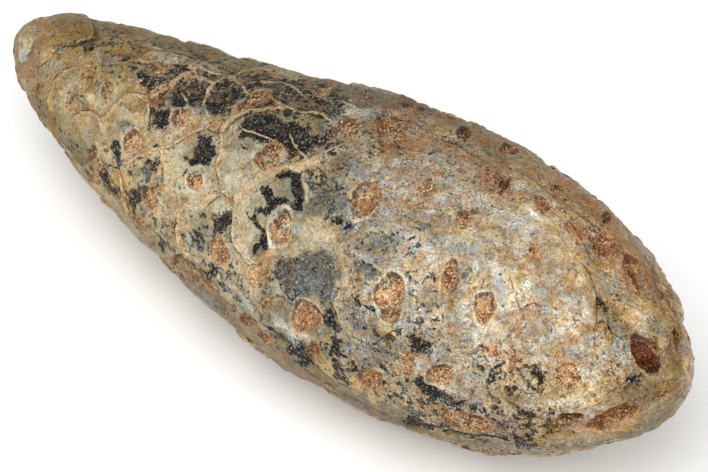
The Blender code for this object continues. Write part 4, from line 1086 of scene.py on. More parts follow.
def pitFields(ring, column):
    # Every pit: those in the picture by their pixels, the hidden ones by the scales' rule
    chance = np.random.default_rng(scaleRule["seed"])
    bowl, sink, rim, redness, paleness, torn, wallShading = (np.zeros_like(facing) for _ in range(7))
    edge = np.full_like(facing, pitForm["outside"])

    def addPit(near, reach, size, depth, red, pale, turned):
        # The wall turned away from the light is dark, the one across from it is bright
        shape, lip, fromEdge = pitShape(reach, size)
        onWall = np.exp(-(((fromEdge - pitForm["wallPlace"]) / pitForm["wallWidth"]) ** 2))
        wall = turned * onWall * min(1.0, 1.5 * np.mean(depth))
        wallShading[near] = np.where(np.abs(wall) > np.abs(wallShading[near]), wall, wallShading[near])
        closer = fromEdge < edge[near]
        redness[near] = np.where(closer, red, redness[near])
        paleness[near] = np.where(closer, pale, paleness[near])
        stain = smoothStep(*pitForm["tornDepths"], depth) * np.ones(reach.shape)
        torn[near] = np.where(closer, stain, torn[near])
        edge[near] = np.minimum(edge[near], fromEdge)
        bowl[near] = np.maximum(bowl[near], shape)
        sink[near] = np.maximum(sink[near], depth * shape)
        rim[near] = np.maximum(rim[near], pale * lip)

    for x, y, halfLong, halfShort, tilt, depth, red, pale in shownPits:
        near = nearBox(oval(x, y, halfLong, halfShort, tilt), lineSizes["pitReach"])
        lean = math.radians(tilt)
        right = lineAcross[near] - x
        up = y - lineDown[near]
        along = (right * math.cos(lean) + up * math.sin(lean)) / halfLong
        aside = (up * math.cos(lean) - right * math.sin(lean)) / halfShort
        angle = np.arctan2(aside, along)
        ragged = 0.07 * np.sin(3 * angle + x) + 0.05 * np.sin(5 * angle + y)
        reach = np.hypot(along, aside) * (1.0 + ragged)
        turned = (up - 0.7 * right) / np.maximum(1.22 * np.hypot(up, right), 1.0)
        addPit(near, reach, halfShort / photoView["pixelsPerMillimetre"], depth, red, pale, turned)
    columns = 2 * scaleRule["scalesInRing"]
    unitAlong = 1000 * scaleRule["ringStep"] * widest
    unitAround = 1000 * math.radians(360.0 / columns) * widest
    for ringNumber in range(scaleRule["firstRing"], scaleRule["lastRing"] + 1):
        for columnNumber in range(ringNumber % 2, columns, 2):
            drift = chance.uniform(-scaleRule["pitWander"], scaleRule["pitWander"], 2)
            size = scaleRule["pitHalfWidth"] * chance.uniform(0.7, 1.15)
            longer = chance.uniform(1.1, 1.6)
            lean = math.radians(chance.uniform(50.0, 120.0))
            red = chance.uniform(0.25, 0.8)
            along = (ring - ringNumber - drift[0]) * unitAlong
            gap = (column - columnNumber - drift[1] + columns / 2) % columns
            around = (gap - columns / 2) * unitAround
            near = np.hypot(along, around) < 3.0 * size * longer
            if not near.any() or facing[near].mean() > 0.02:
                continue
            lengthways = along * math.cos(lean) + around * math.sin(lean)
            sideways = around * math.cos(lean) - along * math.sin(lean)
            reach = np.hypot(lengthways / (size * longer), sideways / size)[near]
            depth = scaleRule["pitDepth"] * sizeShare[near]
            turned = (lengthways / np.maximum(np.hypot(along, around), 0.1))[near]
            addPit(near, reach, size, depth, red, 0.6, turned)
    return {
        "pitFloor": bowl, "pitSink": sink, "pitRim": rim, "pitRed": redness,
        "pitPale": paleness, "pitTorn": torn, "pitEdge": edge, "pitWallShading": wallShading,
    }


endRule = {
    "plateStep": 0.7,  # millimetres
    "plateEdge": 0.1035,
    "plateSwing": 0.0045,
    "scallop": 0.0007,
    "scallops": 7,
    "layerEdges": (0.1085, 0.1105),
    "layerStep": 0.3,
    "capStep": 0.6,
    "capEdge": 0.0060,
    "capReach": 0.0085,
    "capSpread": 42.0,
    "capSink": (0.026, 0.015),
    "restMiddle": 0.0680,
    "restHalfLength": 0.0210,
    "restSpread": 38.0,
    "restFade": (0.55, 1.0),
}


def hiddenLedges():
    # The plate and layers at the blunt end and the flake on the small end, where no photo shows them
    around = np.radians(gridDegrees)
    edge = endRule["plateEdge"] + endRule["plateSwing"] * np.cos(around)
    edge = edge + endRule["scallop"] * np.sin(endRule["scallops"] * around)
    rise = -endRule["plateStep"] * smoothStep(-0.0002, 0.0006, gridDistance - edge)
    for layer in endRule["layerEdges"]:
        wavy = layer + 0.0005 * np.sin(3.0 * around + 1000.0 * layer)
        rise -= endRule["layerStep"] * smoothStep(-0.0002, 0.0005, gridDistance - wavy)
    fromTop = turnBetween(gridDegrees, 0.0) / endRule["capSpread"]
    cap = endRule["capEdge"] + endRule["capReach"] * np.exp(-(fromTop**2))
    rise += endRule["capStep"] * smoothStep(0.0004, -0.0004, gridDistance - cap)
    near = smoothStep(*endRule["capSink"], gridDistance)
    return rise * (1.0 - shownShare) - 0.5 * endRule["capStep"] * near


def restFade():
    fromBottom = turnBetween(gridDegrees, 180.0) / endRule["restSpread"]
    fromMiddle = (gridDistance - endRule["restMiddle"]) / endRule["restHalfLength"]
    return smoothStep(*endRule["restFade"], np.hypot(fromBottom, fromMiddle))


# Where the smooth scales give way to coarse stone: pixels across, and metres from the small end
coarseGround = {"inPicture": (300.0, 380.0), "hidden": (0.040, 0.060)}


def skinFields():
    ring = ringPosition(gridDistance)
    column = turnBetween(gridDegrees, scaleRule["latticeTurn"])
    column = column * scaleRule["scalesInRing"] / 180.0
    around = np.radians(gridDegrees)
    waver = scaleRule["edgeWaver"]
    wavyRing = ring + waver * (np.sin(3 * around + 1.3 * ring) + np.sin(5 * around - 0.8 * ring))
    wavyColumn = column + waver * (np.sin(2 * around + 1.9 * ring) + np.sin(1.1 * ring + 1.0))
    dome, lip, gutter, tilt = scaleEdges(wavyRing, wavyColumn)
    body = smoothStep(scaleRule["firstRing"] - 0.5, scaleRule["firstRing"] + 1.0, ring)
    body = body * smoothStep(scaleRule["lastRing"] + 1.2, scaleRule["lastRing"] + 0.2, ring)
    edges = body * (1.0 - (1.0 - scaleRule["shownEdges"]) * shownShare)
    blunt = 1.0 - 0.5 * smoothStep(-1.0, 3.0, ring)
    scaleRise = body * sizeShare * (scaleRule["fieldDome"] * dome - scaleRule["skinSetBack"])
    scaleRise += edges * blunt * sizeShare * (
        scaleRule["lipHeight"] * lip - scaleRule["gutterDepth"] * gutter - scaleRule["fieldTilt"] * tilt
    )
    ridge, ridgeRise, orange, crack, crackSink, ridgeOffset, crackOffset = seamFields()
    hidden = 1.0 - shownShare
    grainy = smoothStep(*coarseGround["inPicture"], gridAcross) * shownShare
    grainy += hidden * smoothStep(*coarseGround["hidden"], gridDistance)
    area = {name: areaField(rows, tightAreas.get(name, 1.0)) for name, rows in stoneAreas.items()}
    area["dark"] = np.maximum(area["dark"], area.pop("mottled")) * (1.0 - 0.35 * area["haze"])
    area["mottleAndShade"] = area.pop("darker") - area.pop("lighter")
    area["warmth"] = area.pop("warmer") - area.pop("cooler")
    area["calm"] = np.maximum(area["calm"], 0.6 * (1.0 - grainy))
    return {
        **area,
        **pitFields(ring, column),
        "scaleRise": scaleRise + hiddenLedges() + raisedField(),
        "ridgeRise": ridgeRise,
        "ridge": np.maximum(ridge, hidden * body * lip),
        "ridgeOffset": np.where(hidden > 0.5, 2.2 * (1.0 - body * lip), ridgeOffset),
        "orange": np.where(ridge > 0.05, orange, 0.4 * hidden),
        # On the hidden side the gutters between scales take the dark line as painted shade
        "crack": np.maximum(crack, hidden * body * gutter),
        "crackOffset": np.where(hidden > 0.5, 3.0 * (1.0 - body * gutter), crackOffset),
        "crackSink": crackSink,
        "dome": body * dome,
        "hidden": hidden,
        "grainy": grainy,
        "worn": restFade(),
    }


def skinMesh(fields):
    # Rings of points closed with one point at each pole
    rings = coneForm["rings"]
    sides = coneForm["sides"]
    body = gridPoints[1:-1].reshape(-1, 3)
    points = np.vstack([gridPoints[0, :1], body, gridPoints[-1, :1]])
    faces = []
    last = rings * sides + 1
    for side in range(sides):
        after = (side + 1) % sides
        faces.append((0, 1 + side, 1 + after))
        faces.append((last, 1 + (rings - 1) * sides + after, 1 + (rings - 1) * sides + side))
    near = (np.arange(rings - 1)[:, None] * sides + 1 + np.arange(sides)[None, :]).ravel()
    step = np.roll(np.arange(sides), -1)
    nearAfter = (np.arange(rings - 1)[:, None] * sides + 1 + step[None, :]).ravel()
    quads = np.stack([near, near + sides, nearAfter + sides, nearAfter], axis=1)
    faces.extend(quads.tolist())
    mesh = bpy.data.meshes.new("cone_skin")
    mesh.from_pydata(points.tolist(), [], faces)
    form = bmesh.new()
    form.from_mesh(mesh)
    bmesh.ops.recalc_face_normals(form, faces=form.faces)
    form.to_mesh(mesh)
    form.free()
    for name, field in fields.items():
        values = np.concatenate([[field[0].mean()], field[1:-1].ravel(), [field[-1].mean()]])
        layer = mesh.attributes.new(name, "FLOAT", "POINT")
        layer.data.foreach_set("value", values.astype(np.float32))
    return mesh


class Wire:
    # One output of a node tree, which can be added, multiplied and so on

    def __init__(self, tree, socket):
        self.tree = tree
        self.socket = socket

    def worked(self, operation, *others):
        given = dict(enumerate((self,) + others))
        return made(self.tree, "ShaderNodeMath", given, operation=operation)

    def __add__(self, other):
        return self.worked("ADD", other)

    def __sub__(self, other):
        return self.worked("SUBTRACT", other)

    def __mul__(self, other):
        return self.worked("MULTIPLY", other)

    def above(self, level, crispness):
        # 0 below the level and 1 above it, over a band that narrows with crispness
        result = self.worked("MULTIPLY_ADD", crispness, 0.5 - level * crispness)
        result.socket.node.use_clamp = True
        return result


def plug(tree, value, socket):
    if isinstance(value, Wire):
        tree.links.new(value.socket, socket)
    else:
        socket.default_value = value


def made(tree, kind, given, output=0, **settings):
    # One output of a new node, with its settings made and its inputs plugged
    node = tree.nodes.new(kind)
    for name, value in settings.items():
        setattr(node, name, value)
    for place, value in given.items():
        plug(tree, value, node.inputs[place])
    return Wire(tree, node.outputs[output])


def noiseAt(tree, place, scale, detail=2.0, roughness=0.5, twist=0.0):
    given = {"Vector": place, "Scale": scale, "Detail": detail, "Roughness": roughness, "Distortion": twist}
    return made(tree, "ShaderNodeTexNoise", given)


def moved(tree, place, offset):
    return made(tree, "ShaderNodeVectorMath", {0: place, 1: offset}, operation="ADD")


def scaled(tree, vector, share):
    return made(tree, "ShaderNodeVectorMath", {0: vector, "Scale": share}, operation="SCALE")


def blended(tree, share, first, second, mode="MIX"):
    given = {0: share, 6: first, 7: second}
    return made(tree, "ShaderNodeMix", given, 2, data_type="RGBA", blend_type=mode)


def partOf(tree, place, axis):
    return made(tree, "ShaderNodeSeparateXYZ", {0: place}, axis)


# Relief worked by Geometry Nodes: heights in metres
reliefSizes = {
    "Pit Depth": 0.0010,  # metres for each millimetre asked by a pit
    "Rim Height": 0.00018,
    "Ridge Height": 0.0013,
    "Crack Depth": 0.0006,
    "Dark Sink": 0.00010,
    "Lump Height": 0.00052,
    "Lump Size": 0.0046,
    "Grain Height": 0.00040,
    "Grain Size": 0.0013,
}


def newGeometryTree(name, numbers):
    tree = bpy.data.node_groups.new(name, "GeometryNodeTree")
    face = tree.interface
    face.new_socket("Geometry", in_out="INPUT", socket_type="NodeSocketGeometry")
    for label, value in numbers.items():
        kind = "NodeSocketInt" if isinstance(value, int) else "NodeSocketFloat"
        face.new_socket(label, in_out="INPUT", socket_type=kind).default_value = value
    face.new_socket("Geometry", in_out="OUTPUT", socket_type="NodeSocketGeometry")
    entry = tree.nodes.new("NodeGroupInput")
    leave = tree.nodes.new("NodeGroupOutput")
    wires = {socket.name: Wire(tree, socket) for socket in entry.outputs if socket.name}
    return tree, wires, leave


def named(tree, name):
    return made(tree, "GeometryNodeInputNamedAttribute", {"Name": name}, "Attribute", data_type="FLOAT")


def finished(tree, geometry, material, leave):
    # Every tree ends by realizing its instances and setting the material
    real = made(tree, "GeometryNodeRealizeInstances", {"Geometry": geometry})
    dressed = made(tree, "GeometryNodeSetMaterial", {"Geometry": real, "Material": material})
    plug(tree, dressed, leave.inputs["Geometry"])
    return tree


def reliefTree(material):
    tree, given, leave = newGeometryTree("scaleRelief", reliefSizes)
    place = made(tree, "GeometryNodeInputPosition", {})
    outward = made(tree, "GeometryNodeInputNormal", {})

    def lumps(size, detail, offset):
        one = made(tree, "ShaderNodeValue", {})
        one.socket.default_value = 1.0
        return noiseAt(tree, moved(tree, place, offset), one.worked("DIVIDE", size), detail) - 0.5

    broad = lumps(given["Lump Size"], 2.0, (0.0, 0.0, 0.0)) * given["Lump Height"] * 2.0
    fine = lumps(given["Grain Size"], 3.0, (0.3, 0.1, 0.2)) * given["Grain Height"] * 2.0
    ragged = lumps(given["Grain Size"], 1.0, (0.7, 0.5, 0.1)) * 0.9 + 1.0
    height = named(tree, "scaleRise") * 0.001
    height = height + named(tree, "pitRim") * given["Rim Height"]
    height = height - named(tree, "pitSink") * given["Pit Depth"]
    height = height + named(tree, "ridgeRise") * given["Ridge Height"] * ragged
    height = height - named(tree, "crackSink") * given["Crack Depth"] * ragged
    height = height - named(tree, "dark") * given["Dark Sink"]
    height = height + broad
    rough = named(tree, "grainy") * 0.5 + named(tree, "dark") * 0.3
    height = height + fine * (rough + 0.5)
    height = height * named(tree, "worn")
    raised = {"Geometry": given["Geometry"], "Offset": scaled(tree, outward, height)}
    raised = made(tree, "GeometryNodeSetPosition", raised)
    # Nothing stays below the floor
    floored = {0: partOf(tree, place, 0), 1: partOf(tree, place, 1)}
    floored[2] = partOf(tree, place, 2).worked("MAXIMUM", 0.0)
    floored = made(tree, "ShaderNodeCombineXYZ", floored)
    rested = made(tree, "GeometryNodeSetPosition", {"Geometry": raised, "Position": floored})
    return finished(tree, rested, material, leave)


crystalSizes = {
    "Spacing": 0.00026,
    "Crystal Size": 0.00017,
    "Floor Gap": 0.0008,
    "Density Limit": 3.0e7,
    "Seed": 5,
}


def crystalTree(material):
    tree, given, leave = newGeometryTree("pitCrystals", crystalSizes)
    place = made(tree, "GeometryNodeInputPosition", {})
    gaps = noiseAt(tree, place, 900.0, 2.0) - 0.5
    near = named(tree, "pitEdge").above(0.3, -1.5)
    choose = gaps * (named(tree, "pitTorn") * 4.0 + 2.5) * near
    choose = named(tree, "pitFloor") + choose - named(tree, "glass")
    choose = choose.worked("GREATER_THAN", 0.6)
    choose = choose * partOf(tree, place, 2).worked("GREATER_THAN", given["Floor Gap"])
    points = made(tree, "GeometryNodeDistributePointsOnFaces", {
        "Mesh": given["Geometry"], "Selection": choose, "Distance Min": given["Spacing"],
        "Density Max": given["Density Limit"], "Seed": given["Seed"],
    }, "Points", distribute_method="POISSON")

    def chance(low, high, seed):
        # A random number, or a random vector where the limits are vectors
        if isinstance(low, tuple):
            limits = {0: low, 1: high, "Seed": seed}
            return made(tree, "FunctionNodeRandomValue", limits, 0, data_type="FLOAT_VECTOR")
        return made(tree, "FunctionNodeRandomValue", {2: low, 3: high, "Seed": seed}, 1, data_type="FLOAT")

    points = made(tree, "GeometryNodeStoreNamedAttribute", {
        "Geometry": points, "Name": "crystalTone", "Value": chance(0.0, 1.0, 3),
    }, "Geometry", data_type="FLOAT", domain="POINT")
    grain = {"Subdivisions": 1, "Radius": given["Crystal Size"]}
    size = scaled(tree, chance((0.55, 0.55, 0.6), (1.1, 1.1, 1.5), 9), named(tree, "pitSink") * 0.35 + 0.85)
    grains = made(tree, "GeometryNodeInstanceOnPoints", {
        "Points": points,
        "Instance": made(tree, "GeometryNodeMeshIcoSphere", grain, "Mesh"),
        "Rotation": chance((0.0, 0.0, 0.0), (6.28, 6.28, 6.28), 7),
        "Scale": size,
    }, "Instances")
    return finished(tree, grains, material, leave)


def grownMesh(piece, tree, values):
    # The piece's mesh as the tree shapes it, with the modifier taken off again
    modifier = piece.modifiers.new(tree.name, "NODES")
    modifier.node_group = tree
    for item in tree.interface.items_tree:
        if item.item_type == "SOCKET" and item.in_out == "INPUT" and item.name in values:
            modifier[item.identifier] = values[item.name]
    evaluated = piece.evaluated_get(bpy.context.evaluated_depsgraph_get())
    mesh = bpy.data.meshes.new_from_object(evaluated)
    piece.modifiers.remove(modifier)
    return mesh


def tone(code):
    # A colour written as on a paint card, turned into Blender's linear numbers
    parts = [int(code[start:start + 2], 16) / 255 for start in (1, 3, 5)]
    linear = [part / 12.92 if part <= 0.04045 else ((part + 0.055) / 1.055) ** 2.4 for part in parts]
    return (*linear, 1.0)


def attributeOf(tree, name):
    return made(tree, "ShaderNodeAttribute", {}, "Fac", attribute_name=name)


stoneTones = {
    "cream": "#cfba8e",
    "bone": "#d9c9a4",
    "tan": "#ab8c5c",
    "dust": "#b7946d",
    "sand": "#baa27e",
    "seam": "#c7a27a",
    "glassy": "#b9af8a",
    "cloud": "#cfc9ac",
    "olive": "#7b7152",
    "charcoal": "#07080a",
    "slate": "#1d1e21",
    "haze": "#6e6759",
    "mist": "#bbb5a3",
    "smoke": "#5f5b4d",
    "ash": "#a39c88",
    "rust": "#a66f40",
    "orange": "#d0a879",
    "ochre": "#c29467",
    "blueGrey": "#979d9a",
    "whitish": "#dedac9",
    "brown": "#6f5033",
    "golden": "#a3834f",
    "fire": "#a26a3f",
    "ember": "#5e331b",
    "amber": "#cfa373",
    "deepRed": "#8a3f14",
    "umber": "#35281c",
    "quartz": "#ead4a8",
    "clay": "#a5815a",
    "hollow": "#150804",
}
stoneTones = {name: tone(code) for name, code in stoneTones.items()}


def newMaterial(name):
    material = bpy.data.materials.new(name)
    material.use_nodes = True
    tree = material.node_tree
    shader = tree.nodes["Principled BSDF"]
    return material, tree, shader, made(tree, "ShaderNodeTexCoord", {}, "Object")


def roughen(tree, shader, height, strength, distance):
    given = {"Strength": strength, "Distance": distance, "Height": height}
    plug(tree, made(tree, "ShaderNodeBump", given), shader.inputs["Normal"])


def winding(noise, halfWidth):
    # Thin lines that wander where a noise passes its middle
    return (noise - 0.5).worked("ABSOLUTE").above(halfWidth, -1.0 / halfWidth)


# Noises in the stone: shift of the pattern, scale, detail, roughness and twist
stoneNoises = {
    "broad": ((0.0, 0.0, 0.0), 190.0, 2.0, 0.5, 0.0),
    "patchy": ((0.1, 0.8, 0.3), 380.0, 3.0, 0.55, 0.6),
    "middle": ((0.4, 0.2, 0.9), 640.0, 3.0, 0.6, 0.4),
    "cool": ((0.3, 0.3, 0.4), 470.0, 2.2, 0.56, 0.9),
    "warm": ((0.9, 0.7, 0.2), 430.0, 2.6, 0.60, 0.9),
    "ragged": ((0.6, 0.1, 0.5), 1250.0, 4.0, 0.7, 0.0),
    "curls": ((0.5, 0.9, 0.1), 560.0, 2.0, 0.5, 2.0),
    "worms": ((0.8, 0.5, 0.3), 1000.0, 1.5, 0.5, 2.2),
    "fleck": ((0.2, 0.6, 0.7), 2200.0, 3.0, 0.65, 0.0),
    "grain": ((0.0, 0.0, 0.0), 4000.0, 2.0, 0.6, 0.0),
    "dust": ((0.7, 0.4, 0.6), 2800.0, 3.0, 0.7, 0.0),
    "creases": ((0.2, 0.9, 0.6), 330.0, 4.0, 0.62, 1.6),
    "netting": ((0.8, 0.1, 0.4), 760.0, 3.0, 0.6, 1.4),
    "tints": ((0.5, 0.2, 0.3), 540.0, 2.0, 0.6, 0.8),
}

stoneFinish = {
    "streakScale": 1100.0,
    "streakStretch": (0.35, 1.0, 1.0),
    "streakTurn": (0.0, 0.0, 0.25),
    "bumpDistance": 0.00038,  # metres
}

def stoneMaterial():
    # Silicified scales: glassy and tan faces, black gaps, rust, ridges, cracks and pits
    material, tree, shader, place = newMaterial("silicified_stone")
    tones = stoneTones
    broad, patchy, middle, cool, warm, ragged, curls, worms, fleck, grain, dust, creases, netting, tints = (
        noiseAt(tree, moved(tree, place, shift), *settings) for shift, *settings in stoneNoises.values()
    )
    turned = {"Vector": place, "Scale": stoneFinish["streakStretch"], "Rotation": stoneFinish["streakTurn"]}
    turned = made(tree, "ShaderNodeMapping", turned)
    streaks = noiseAt(tree, turned, stoneFinish["streakScale"], 4.0, 0.65)

    def held(name):
        return attributeOf(tree, name)

    def mask(field, level=0.5, crispness=4.0, spread=1.3):
        # A placed area with a torn edge
        torn = (ragged - 0.5) * spread + (middle - 0.5) * (spread * 0.5) + (fleck - 0.5) * (spread * 0.5)
        return (field + torn).above(level, crispness)

    def drawn(offset, closeness, width, crispness, waver):
        # A line about as wide as asked in half widths, wavering a little and broken here and there
        shift = (ragged - 0.5) * waver + (middle - 0.5) * (waver * 0.8)
        inside = (held(offset) + shift).worked("ABSOLUTE")
        inside = (inside + (curls - 0.5) * 3.2 + (fleck - 0.5) * 2.0).above(width, -crispness)
        return inside * held(closeness).above(0.40, 8.0)

    def layered(face, *layers):
        # Each layer is how much of a tone shows over what lies under it
        for share, name in layers:
            face = blended(tree, share, face, tones[name])
        return face

    hidden = held("hidden")
    olive = held("olive")
    calm = held("calm")
    lively = held("lively")
    glassShare = (held("dome") * 0.9 + (patchy - 0.5) * 2.6 + (cool - 0.5) * 1.2).above(0.30, 1.8)
    smoothFace = layered(
        tones["tan"],
        (glassShare, "glassy"),
        ((middle + (broad - 0.5)).above(0.54, 4.0) * 0.75, "cream"),
        ((cool + (broad - 0.5) * 0.5).above(0.57, 5.0) * 0.7, "cloud"),
        ((broad + (middle - 0.5) * 0.8).above(0.56, 5.0) * 0.5, "olive"),
        ((warm + (broad - 0.5) * -0.6).above(0.59, 6.0) * 0.4, "clay"),
        (held("ridge").above(0.55, 2.0) * 0.45, "dust"),
        (winding(curls, 0.012) * 0.4, "brown"),
        (winding(worms, 0.014) * 0.3, "cream"),
    )
    coarseFace = layered(
        tones["sand"],
        (patchy.above(0.5, 5.0), "bone"),
        (middle.above(0.45, -6.0) * 0.55, "olive"),
        (cool.above(0.51, 4.5) * 0.80, "blueGrey"),
        ((cool * 0.8 + ragged * 0.2).above(0.57, 6.5) * 0.85, "whitish"),
        (warm.above(0.53, 4.5) * 0.55, "ochre"),
        ((warm * 0.8 + ragged * 0.2).above(0.58, 8.0) * 0.5, "clay"),
        (winding(worms, 0.018) * 0.45, "bone"),
        (winding(curls, 0.014) * 0.45, "brown"),
    )
    coarse = mask(held("grainy"), 0.5, 2.5)
    # Thin dark creases, also sunk in the bump: painted shade in the crevices
    crease = winding(creases, 0.012) * (middle + (ragged - 0.5)).above(0.55, 8.0)
    netted = winding(netting, 0.014) * (patchy + (ragged - 0.5)).above(0.55, 8.0)
    worn = (broad + (patchy - 0.5) * 0.7).above(0.50, 5.0) * hidden
    brown = held("brown") + worn * 0.8
    gold = held("gold") + (worn + (warm - 0.5) * 2.0 * hidden) * 0.6
    face = layered(
        blended(tree, coarse, smoothFace, coarseFace),
        (crease * 0.7, "umber"),
        (netted * 0.3, "brown"),
        (mask(olive, 0.45, 2.5) * 0.75, "olive"),
        ((streaks + olive * 0.3).above(0.70, 8.0) * 0.45, "smoke"),
        (mask(brown, 0.42, 2.5, 1.6) * 0.65, "clay"),
        (mask(gold, 0.48, 2.5, 2.4) * gold.above(0.2, 4.0) * 0.6, "golden"),
        ((streaks * 0.5 + warm * 0.5 + brown * 0.35).above(0.73, 9.0) * 0.5, "rust"),
        (mask(held("cream"), 0.5, 2.5) * 0.75, "cream"),
        (mask(held("blue"), 0.55, 3.0) * 0.7, "blueGrey"),
        (mask(held("rust"), 0.52, 3.0) * 0.75, "rust"),
        (mask(held("white"), 0.55, 3.0) * 0.8, "whitish"),
    )

    haze = held("haze") + (cool - 0.5) * 1.6 + (ragged - 0.5) * 1.2
    hazeTone = layered(
        tones["slate"],
        ((middle * 0.4 + ragged * 0.6).above(0.49, 9.0), "haze"),
        ((dust * 0.5 + ragged * 0.5).above(0.545, 14.0) * 0.85, "mist"),
    )
    face = blended(tree, haze.above(0.55, 2.0) * 0.82, face, hazeTone)
    dark = held("dark") + (patchy + (broad - 0.5) * 0.8).above(0.62, 5.0) * hidden
    face = layered(face, (mask(dark, 0.40, 3.5, 2.0) * 0.7, "smoke"))
    blackness = layered(
        tones["charcoal"],
        (fleck.above(0.50, 9.0), "slate"),
        ((warm * 0.7 + ragged * 0.3).above(0.55, 10.0) * 0.6, "umber"),
        ((ragged * 0.6 + cool * 0.4).above(0.565, 14.0) * 0.75, "smoke"),
        (winding(worms, 0.012) * 0.5, "smoke"),
        ((dust * 0.6 + ragged * 0.4).above(0.60, 22.0) * 0.85, "ash"),
        ((grain * 0.6 + dust * 0.4).above(0.61, 20.0) * 0.7, "cloud"),
    )
    black = mask(dark, 0.57, 5.5, 2.8)
    face = blended(tree, black, face, blackness)

    ridgeLine = drawn("ridgeOffset", "ridge", 0.95, 2.5, 2.4)
    face = blended(tree, ridgeLine * 0.92, face, layered(tones["cream"], (held("orange"), "seam")))
    # Dark lines: real cracks, and painted shadow beside the seams and in the hidden side's gutters
    crackAndShadowLine = drawn("crackOffset", "crack", 0.55, 2.5, 3.0)
    face = layered(face, (crackAndShadowLine * 0.62, "umber"))

    torn = held("pitTorn")
    edge = held("pitEdge") + ((ragged - 0.5) * (torn * 2.6 + 0.7) + (fleck - 0.5) * 0.5)
    pale = held("pitPale")
    rim = edge.above(0.30, -8.0) * (pale * 0.85 + 0.05)
    face = blended(tree, rim, face, layered(tones["orange"], (pale.above(0.75, 3.0), "bone")))
    # A broken dark line at the pit's mouth: painted shade where the surface drops into the pit
    outline = edge.above(0.02, -11.0) * (torn * -0.5 + 0.7) * (curls + (dust - 0.5)).above(0.47, 6.0)
    face = layered(face, (outline, "umber"))
    filling = layered(
        tones["brown"],
        ((middle + (fleck - 0.5)).above(0.48, 5.0), "clay"),
        ((warm * 0.6 + ragged * 0.4).above(0.50, 9.0) * 0.85, "orange"),
    )
    pit = edge.above(-0.12, -9.0)
    # Painted shade on the pit wall turned from the light, and a painted highlight on the wall across from
    # it
    wallShading = held("pitWallShading") + (ragged - 0.5) * 1.6 + (fleck - 0.5) * 0.8
    face = layered(
        blended(tree, pit, face, filling),
        (wallShading.above(0.30, 3.5) * 0.75, "umber"),
        (wallShading.above(-0.40, -3.5) * 0.25, "bone"),
    )
    glassTone = layered(tones["glassy"], (fleck.above(0.5, 8.0), "smoke"))
    face = blended(tree, mask(held("glass"), 0.5, 4.0, 0.8) * 0.9, face, glassTone)
    # Near black in the deep hollows is painted shade, flecked with iron red
    hollow = layered(
        tones["hollow"],
        (fleck.above(0.52, 9.0), "deepRed"),
        ((dust * 0.6 + ragged * 0.4).above(0.57, 14.0) * 0.6, "rust"),
    )
    face = blended(tree, mask(held("cavity"), 0.5, 4.0, 1.0) * 0.95, face, hollow)
    fire = held("fire")
    fiery = mask(fire, 0.52, 3.0, 3.0) * fire.above(0.15, 4.0) * 0.85 * (black * -0.8 + 1.0)
    fieryTone = layered(
        tones["fire"],
        ((fleck * 0.6 + ragged * 0.4).above(0.525, 14.0), "ember"),
        ((dust * 0.5 + warm * 0.5).above(0.54, 14.0) * 0.8, "orange"),
    )
    face = blended(tree, fiery, face, fieryTone)

    # Light and dark specks stay one hue, while broader patches turn warm or cool
    speck = ((grain - 0.5) * 2.3 + (dust - 0.5) * 1.3) * (calm * -0.35 + 0.80 + pit * 0.7)
    speck = speck * ((coarse - 1.0) * glassShare * 0.30 + 1.0)
    speck = speck + (ragged - 0.5) * ((coarse - 1.0) * glassShare * 0.5 + 1.3)
    speck = speck + (middle - 0.5) * 1.1 + (patchy - 0.5) * 0.6
    speck = speck + (fleck.above(0.36, -9.0) + ragged.above(0.37, -9.0)) * (calm * 0.2 - 0.35)
    speck = (speck * (lively * 0.4 + 1.0) + 0.98) * (calm * -0.055 + 0.908)
    # The darker and lighter ground: partly the stone's mottling, partly painted shade and painted light
    speck = speck * (held("mottleAndShade") * (patchy * -0.7 + ragged * -0.5 + 0.20) + 1.0)
    tint = tints - 0.5 + held("warmth") * 0.24
    channels = {0: speck * 0.88 + tint * 0.55 + 0.11, 1: speck, 2: speck * 1.3 - tint * 0.9 - 0.26}
    speck = made(tree, "ShaderNodeCombineColor", channels)
    plug(tree, blended(tree, 1.0, face, speck, "MULTIPLY"), shader.inputs["Base Color"])
    plug(tree, ragged * 0.3 + 0.42, shader.inputs["Roughness"])
    plug(tree, black * -0.2 + 0.3, shader.inputs["Specular IOR Level"])
    height = grain * 0.5 + ragged * 1.5 + fleck * 0.8 + dust * 0.3
    height = height + ridgeLine * 0.45 + rim * 0.35 - crackAndShadowLine * 0.6 - black * 0.25
    height = (height - crease * 0.5 - netted * 0.25) * (calm * -0.45 + lively * 0.25 + 1.0)
    roughen(tree, shader, height, 1.0, stoneFinish["bumpDistance"])
    return material


